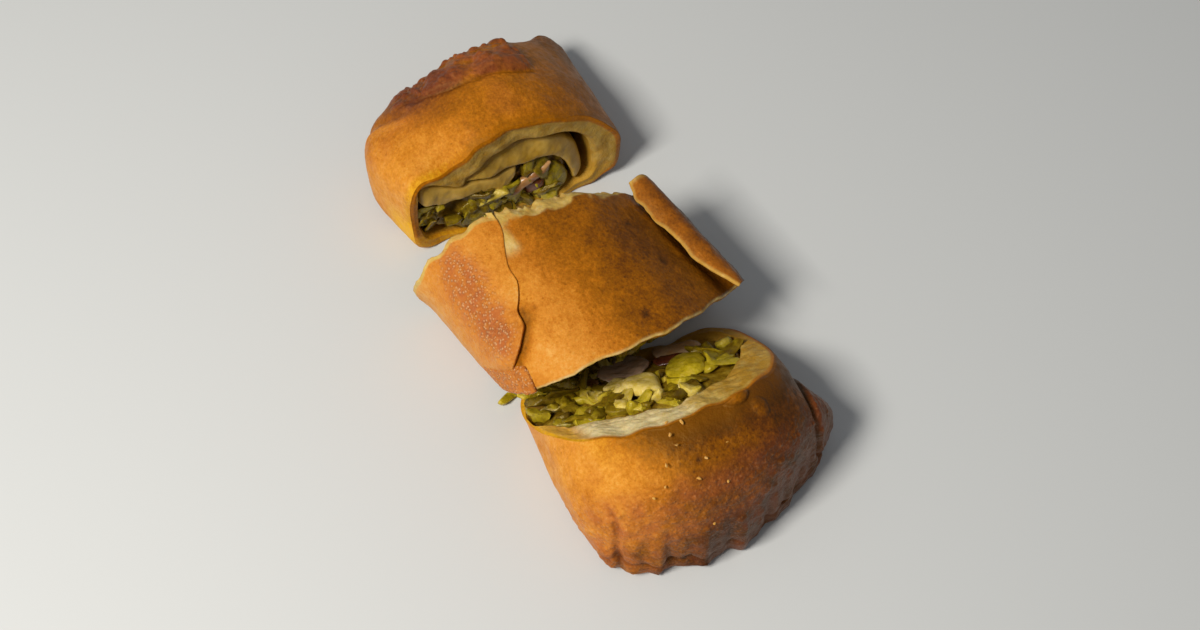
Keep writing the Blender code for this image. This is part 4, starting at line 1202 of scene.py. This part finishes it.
def lobes(x, y, spots):
    """Blown blisters: domes (1 - distance squared) ** 0.6. Each spot gives X, Y, two radii and height."""
    height = np.zeros(np.broadcast(x, y).shape)
    for at_x, at_y, long_x, long_y, tall in spots:
        gap = ((x - at_x) / long_x) ** 2 + ((y - at_y) / long_y) ** 2
        height = np.maximum(height, tall * np.clip(1 - gap, 0, 1) ** 0.6)
    return height


TAIL_COLUMNS, TAIL_ROWS = 390, 176
tail_angles = even_angles(tail_section, TAIL_COLUMNS)[None, :]
tail_along = np.linspace(0, 1, TAIL_ROWS)[:, None]
places = [0, 0.12, 0.26, 0.40, 0.53, 0.64, 0.73, 0.80, 0.86, 0.90, 0.935, 0.965, 1.0]
length = eased(tail_along, places,
               [0, 0.13, 0.28, 0.42, 0.56, 0.69, 0.80, 0.885, 0.945, 0.98, 0.997, 1.0, 1.0])
left = eased(tail_along, places, [1, 1.02, 1.05, 1.08, 1.09, 1.09, 1.08, 1.06, 1.04, 0.99, 0.88, 0.56, 0.04])
right = eased(tail_along, places, [1, 1.0, 1.0, 1.01, 1.04, 1.09, 1.14, 1.17, 1.13, 1.03, 0.88, 0.56, 0.04])
tall = eased(tail_along, places, [1, 1, 0.98, 0.94, 0.89, 0.81, 0.70, 0.56, 0.42, 0.31, 0.22, 0.15, 0.02])
cut_y, cut_z = tail_section(tail_angles)
ty = 1.1 + (cut_y - 1.1) * np.where(cut_y < 1.1, left, right) + 2.5 * length
tz = cut_z * tall
scallop = (0.6 * np.cos(0.575 * (ty - 5.6)) + 0.4 * np.cos(1.31 * ty + 0.6)
           + 0.4 * speckle(np.stack([0 * ty, ty, 0 * ty], -1), 3.0, 505))
far_end = TAIL_FAR - 0.0118 * (ty - 0.6) ** 2 + scallop * smooth(length, 0.86, 1.0)
far_end = far_end - 1.3 * smooth(-tz, -1.6, 0)
tx = tail_face(cut_y, cut_z) * (1 - length) + far_end * length
flap_seam = (eased(tx, [43, 50, 56, 60], [29.6, 28.9, 28.6, 28.8])
             + 0.35 * speckle(np.stack([tx, 0 * tx, 0 * tx], -1), 3.5, 503))
into_flap = np.minimum(ty - flap_seam, 59.6 - tx + 0.5 * np.sin(0.8 * tz))
flap = smooth(into_flap, -0.25, 0.3) * smooth(tx, 40.5, 47)
tail_grid = np.stack([tx, ty, tz], -1)
tail_out = outward(tail_grid)
upper = smooth(tail_out[..., 2], 0.0, 0.4)
crack = np.exp(-((into_flap + 0.45) / 0.6) ** 2) * smooth(tx, 42, 49) * smooth(ty, 12, 22)
blister = lobes(tx, ty, [(48.2, 10.6, 3.1, 3.6, 1.8), (53.0, 14.8, 2.4, 2.0, 0.5),
                         (44.6, 15.6, 2.6, 1.8, 1.0)])
blister = blister * upper
fold = np.exp(-((ty + 22.3 - 0.35 * np.sin(0.5 * tz)) / 0.6) ** 2) * smooth(tx, 54, 58.5)
fold_bulge = np.exp(-((ty + 19.8) / 2.0) ** 2) * smooth(tx, 55, 60)
end_zone = smooth(length, 0.82, 0.95)
crimp_line = (np.exp(-((tz - 5.4 - 0.7 * np.sin(0.5 * ty) - 0.5 * np.sin(1.3 * ty)) / 0.8) ** 2)
              * smooth(length, 0.88, 0.95))
pleats = np.abs(np.sin(0.2875 * (ty - 5.6) + 0.35 * speckle(tail_grid, 5, 501))) ** 0.5
small_blisters = blisters(tail_grid, 1.3, 511, 0.75)
lower = smooth(length, 0.45, 0.72)
relief = (0.50 * cloud(tail_grid, 11, 521, 2) + 0.10 * cloud(tail_grid, 1.8, 531, 3)
          + 0.05 * blisters(tail_grid, 1.7, 541))
relief = (relief + (0.17 * small_blisters + 0.30 * blisters(tail_grid, 2.8, 545, 0.6)
                    + 0.25 * cloud(tail_grid, 3, 547, 3)) * lower)
relief = relief + blister + 0.75 * flap - 0.8 * crack - 0.6 * fold + 0.4 * fold_bulge
relief = (relief + 0.34 * (pleats - 0.75) * end_zone * (0.7 + 0.6 * speckle(tail_grid, 8, 555))
          - 0.5 * crimp_line)
pits = blisters(tail_grid, 5.5, 551, 0.35) ** 6
relief = relief - 0.15 * pits
relief = relief * smooth(tz, 0.3, 2.4) * smooth(tail_along, 0, 0.02) * smooth(-tail_along, -1, -0.93)
tail_outer = tail_grid + tail_out * relief[..., None]
tail_outer[..., 2] = np.maximum(tail_outer[..., 2], 0)

tail_hollow = outline_through((0.0, 10.0), [
    (-25.6, 8.0), (-25.2, 11.5), (-21.8, 14.6), (-16.0, 18.2), (-10.4, 20.8), (-5.6, 22.6),
    (-1.1, 24.8), (3.2, 25.0), (9.2, 24.3), (14.5, 22.6), (20.7, 18.7), (24.6, 14.0), (26.0, 9.1),
    (25.0, 4.9), (20.2, 2.0), (10.0, 1.6), (0.0, 1.5), (-10.0, 1.6), (-20.0, 2.4), (-24.8, 4.8)])
tail_mouth = facing(tail_outer[0], tail_hollow)
tail_cut, tail_inward = cut_face(tail_outer[0], tail_mouth, tail_face, -1, 40, 561, dip=0.5)
fuzz = 0.22 * cloud(tail_cut, 1.6, 565, 3) * smooth(tail_inward, 0.5, 2.0)
tail_cut[..., 0] -= fuzz
tail_cut[..., 2] = np.maximum(tail_cut[..., 2] + 0.7 * fuzz * smooth(tail_cut[..., 2], 2, 6), 0)
tail_all, tail_mark = one_cut(tail_outer, tail_cut, blind_wall(tail_cut[-1], 9.0))
# brown_and_shade: partly browning, partly painted shade that darkens the crust from the lit left side to the
# shaded right. It is also darker towards the table.
brown_and_shade = 0.22 + 0.50 * smooth(ty, -21, 1) + 0.16 * smooth(ty, 4, 20) + 0.11 * cloud(tail_grid, 8, 571, 4)
brown_and_shade = brown_and_shade + 0.07 * cloud(tail_grid, 2.2, 573, 3) + 0.08 * lower + 0.24 * smooth(length, 0.86, 0.97)
brown_and_shade = brown_and_shade + 0.30 * crack + 0.2 * crimp_line + 0.2 * fold - 0.36 * np.clip(blister, 0, 1) + 0.3 * pits
brown_and_shade = brown_and_shade + 0.15 * smooth(-tz, -4, 0) - lower * 0.14 * small_blisters
red = (lower * (0.45 + 0.45 * speckle(tail_grid, 2.5, 572)) + 0.2 * flap
       + 0.2 * smooth(cloud(tail_grid, 7, 574, 3), 0.0, 0.5))
soaked_edge = (smooth(-length, -0.42, -0.05) * smooth(ty, -24, -14)
               * (0.75 + 0.35 * speckle(tail_grid, 6, 577)))
soaked_edge = np.clip(soaked_edge, 0, 1) * smooth(tz, 5, 12)
brown_and_shade = brown_and_shade + 0.34 * soaked_edge * smooth(ty, -22, -12) + 0.10 * soaked_edge
left_end = smooth(-tail_cut[..., 1], 17.5, 21.5)
# The tail's cut dough is darker towards the right side and towards the table.
oil_and_shade = 0.68 * smooth(tail_cut[..., 1], -6, 16) - 0.25 + 0.3 * smooth(-tail_cut[..., 2], -10, -3)
skin("tail_crust", tail_all, crust, {
    "brown_and_shade": tail_mark(brown_and_shade, 0.5 - 0.42 * left_end, 0.5),
    "red": tail_mark(np.clip(red, 0, 1), 0, 0),
    "bare": tail_mark(0, smooth(tail_inward, 0.5, 1.1) * (1 - 0.8 * left_end), 1),
    "oil_and_shade": tail_mark(0, oil_and_shade, 0.5),
    "amber": tail_mark(soaked_edge, np.maximum(1 - smooth(tail_inward, 0.5, 1.2), left_end), 0),
    "blistered": tail_mark(0.35 * lower, 0, 0)}, "tail_wrapper")


# ---------------- tail slice: filling
# The slanting cut opens the filling to view: green leek, yellow cabbage, one pale wedge of stalk,
# a bright lime piece, a smooth grey-mauve onion layer and a pink strip with a dark red line.

tail_filling_outline = outline_through((0.0, 10.0), [
    (-24.8, 8.0), (-24.2, 11.2), (-20.8, 13.8), (-15.4, 17.2), (-10.2, 19.6), (-5.4, 21.2),
    (-1.0, 23.2), (3.2, 23.6), (9.0, 23.3), (14.0, 21.5), (19.8, 17.7), (23.4, 13.4), (24.9, 9.1),
    (24.0, 5.0), (19.6, 2.6), (10.0, 2.3), (0.0, 2.2), (-10.0, 2.3), (-19.6, 2.9), (-24.0, 5.0)])


def tail_filling_face(y, z):
    return tail_face(y, z) + 0.9


filling_body("tail_filling_mass", "tail_filling", tail_filling_outline, tail_filling_face, -1, 10, 581,
             light=0.20)


def clear_of_slices(y, z):
    """False inside the ellipses that the larger cut pieces take up: each gives Y, Z and two half widths."""
    taken = np.array([(-1, 4.5, 7.5, 5.5), (13.5, 6.5, 6, 3.6), (-0.5, 16.6, 4.6, 3.2),
                      (10.5, 15.2, 5.2, 3.8), (-4.6, 12.6, 2.8, 2.4)])
    y_gap = (np.atleast_1d(y)[:, None] - taken[:, 0]) / taken[:, 2]
    z_gap = (np.atleast_1d(z)[:, None] - taken[:, 1]) / taken[:, 3]
    return (y_gap ** 2 + z_gap ** 2 > 1).all(1) & ((z > 6) | (y < -9))


for kind, count, size, tint, dark, out, shape in (
        ("cabbage", 76, (7.0, 5.2, 1.6), 0.62, 0.25, 1.1, {"bend": 0.10, "rough": 0.75, "round_to": (8, 14)}),
        ("leek", 60, (4.8, 3.4, 1.7), 0.78, 0.40, 1.3, {}),
        ("stalk", 30, (3.8, 2.8, 1.8), 0.32, 0.05, 1.5, {})):
    face_pieces(f"tail_{kind}", "tail_filling", tail_filling_outline, tail_filling_face, -1,
                count, size, 591 + count, tint, dark, out,
                keep=clear_of_slices, slant=math.atan(TAIL_SLANT), **shape)


def on_slant(points):
    """X and Y on the slanting cut, as Y and Z."""
    return [(y, (x - TAIL_NEAR) / TAIL_SLANT) for x, y in points]


for kind, points, thick, finish, marks, seed, lift, dome, rough in (
        ("pale_wedge",
         [(29.3, -4.2), (29.3, 0.4), (31.4, 3.2), (34.6, 2.4), (37.6, 0.6), (35.8, -2.8), (32.4, -4.4)],
         3.6, vegetable, {"tint": 0.14}, 601, 1.8, 7.0, 0.08),
        ("lime_piece",
         [(27.9, 8.6), (27.5, 12.4), (30.0, 15.6), (33.0, 14.6), (35.5, 12.3), (35.6, 8.6),
          (34.3, 5.4), (31.0, 5.8)],
         3.4, vegetable, {"tint": 0.50}, 611, 1.4, 6.0, 0.12),
        ("pale_leaf",
         [(27, -7.6), (25.1, -3.6), (27.6, -1.8), (31.5, -2.4), (30.4, -5.6), (28.6, -7.8)],
         2.8, vegetable, {"tint": 0.14}, 621, 1.4, 5.0, 0.1),
        ("onion_layer",
         [(17.3, -5.0), (17.2, 2.6), (19.6, 6.2), (23.0, 6.0), (25.6, 2.2), (25.0, -2.6), (21.2, -5.4)],
         2.2, onion, {"pink": 0.06}, 631, 0.6, 4.0, 0.2),
        ("pink_strip",
         [(18.9, 10.0), (20.1, 14.5), (23.6, 18.6), (27.2, 16.8), (24.8, 12.4), (22.4, 8.6)],
         2.6, onion, {"pink": lambda g: 0.30 + 0.18 * speckle(g, 2.0, 641)}, 645, 1.2, 3.0, 0.2),
        ("red_line",
         [(23.6, 7.0), (24.2, 9.4), (26.6, 13.6), (27.5, 13.6), (26.2, 10.0), (25.0, 7.0)],
         2.2, onion, {"pink": 0.97}, 651, 1.3, 3.0, 0.2),
        ("onion_rust",
         [(18.0, -12.4), (18.2, -7.0), (21.0, -6.2), (23.4, -8.8), (22.2, -13.0)],
         1.6, onion, {"pink": 0.66}, 661, -0.2, 3.0, 0.2)):
    cut_slab(f"tail_{kind}", "tail_filling", on_slant(points), thick, finish, marks, seed, tail_face, -1,
             lift, dome, rough)


# ---------------- tail slice: fallen filling
# Some of the leek and cabbage has fallen out over the toe of the cut, on the left. It lies on
# the table in a low heap.

chance = np.random.default_rng(671)
for kind, count, size, tint, dark, last_across in (("leek", 50, (4.6, 3.4, 1.5), 0.66, 0.3, -26.4),
                                                   ("cabbage", 24, (5.0, 3.6, 1.4), 0.40, 0.1, -20.0)):
    across = chance.uniform(-22.0, -2.0, count)
    across[-1] = last_across
    out = chance.uniform(0, 1, count)
    x = tail_low[0] - 3.2 + 5.0 * out + 0.10 * (across + 15)
    z = 0.9 + 2.6 * out * chance.uniform(0.2, 1.0, count) * smooth(across, -28, -22)
    sizes = np.array(size) * chance.uniform(0.6, 1.3, (count, 3))
    lie = chance.uniform(-0.35, 0.35, (2, count))
    turns = turned(*lie, chance.uniform(0, 3.1, count))
    tints = np.clip(tint + 0.2 * chance.normal(0, 1, count), 0, 1) * np.where(across > -24, 1, 0.6)
    darks = dark * chance.uniform(0, 1, count) * (across > -24)
    chopped(f"tail_fallen_{kind}", np.stack([x, across, z], -1), sizes, turns, vegetable,
            {"tint": tints, "dark": darks}, 673, "tail_filling")


# ---------------- loose crumbs
# Flakes of crust and pale shreds of dough that the knife left on the slices.

crumb_places = np.array([
    (58.4, -1.2, 30.0), (61.0, -4.0, 27.9), (47.5, -4.9, 30.6), (51.2, -6.1, 32.4), (53.6, -5.8, 31.9),
    (59.4, -11.2, 27.4), (60.0, -14.1, 25.6), (67.4, -2.8, 16.7), (38.0, 7.0, 21.4), (57.0, 4.6, 30.2),
    (63.2, 2.0, 25.6), (61.6, 8.4, 26.2), (56.2, -9.4, 30.2), (49.6, -2.4, 32.4)])
chance = np.random.default_rng(701)
crumb_count = len(crumb_places)
crumb_tints = chance.uniform(0.0, 0.25, crumb_count)
crumb_sizes = chance.uniform(0.5, 1.0, (crumb_count, 1)) * (1.5, 0.8, 0.5)
crumb_turns = turned(*chance.uniform(-0.6, 0.6, (2, crumb_count)), chance.uniform(0, 3.1, crumb_count))
chopped("tail_crumbs", crumb_places, crumb_sizes, crumb_turns, crust, {"brown_and_shade": crumb_tints, "bare": 0.4},
        702, "tail_wrapper", "fried_dough", blocky=0.7, rough=0.2)
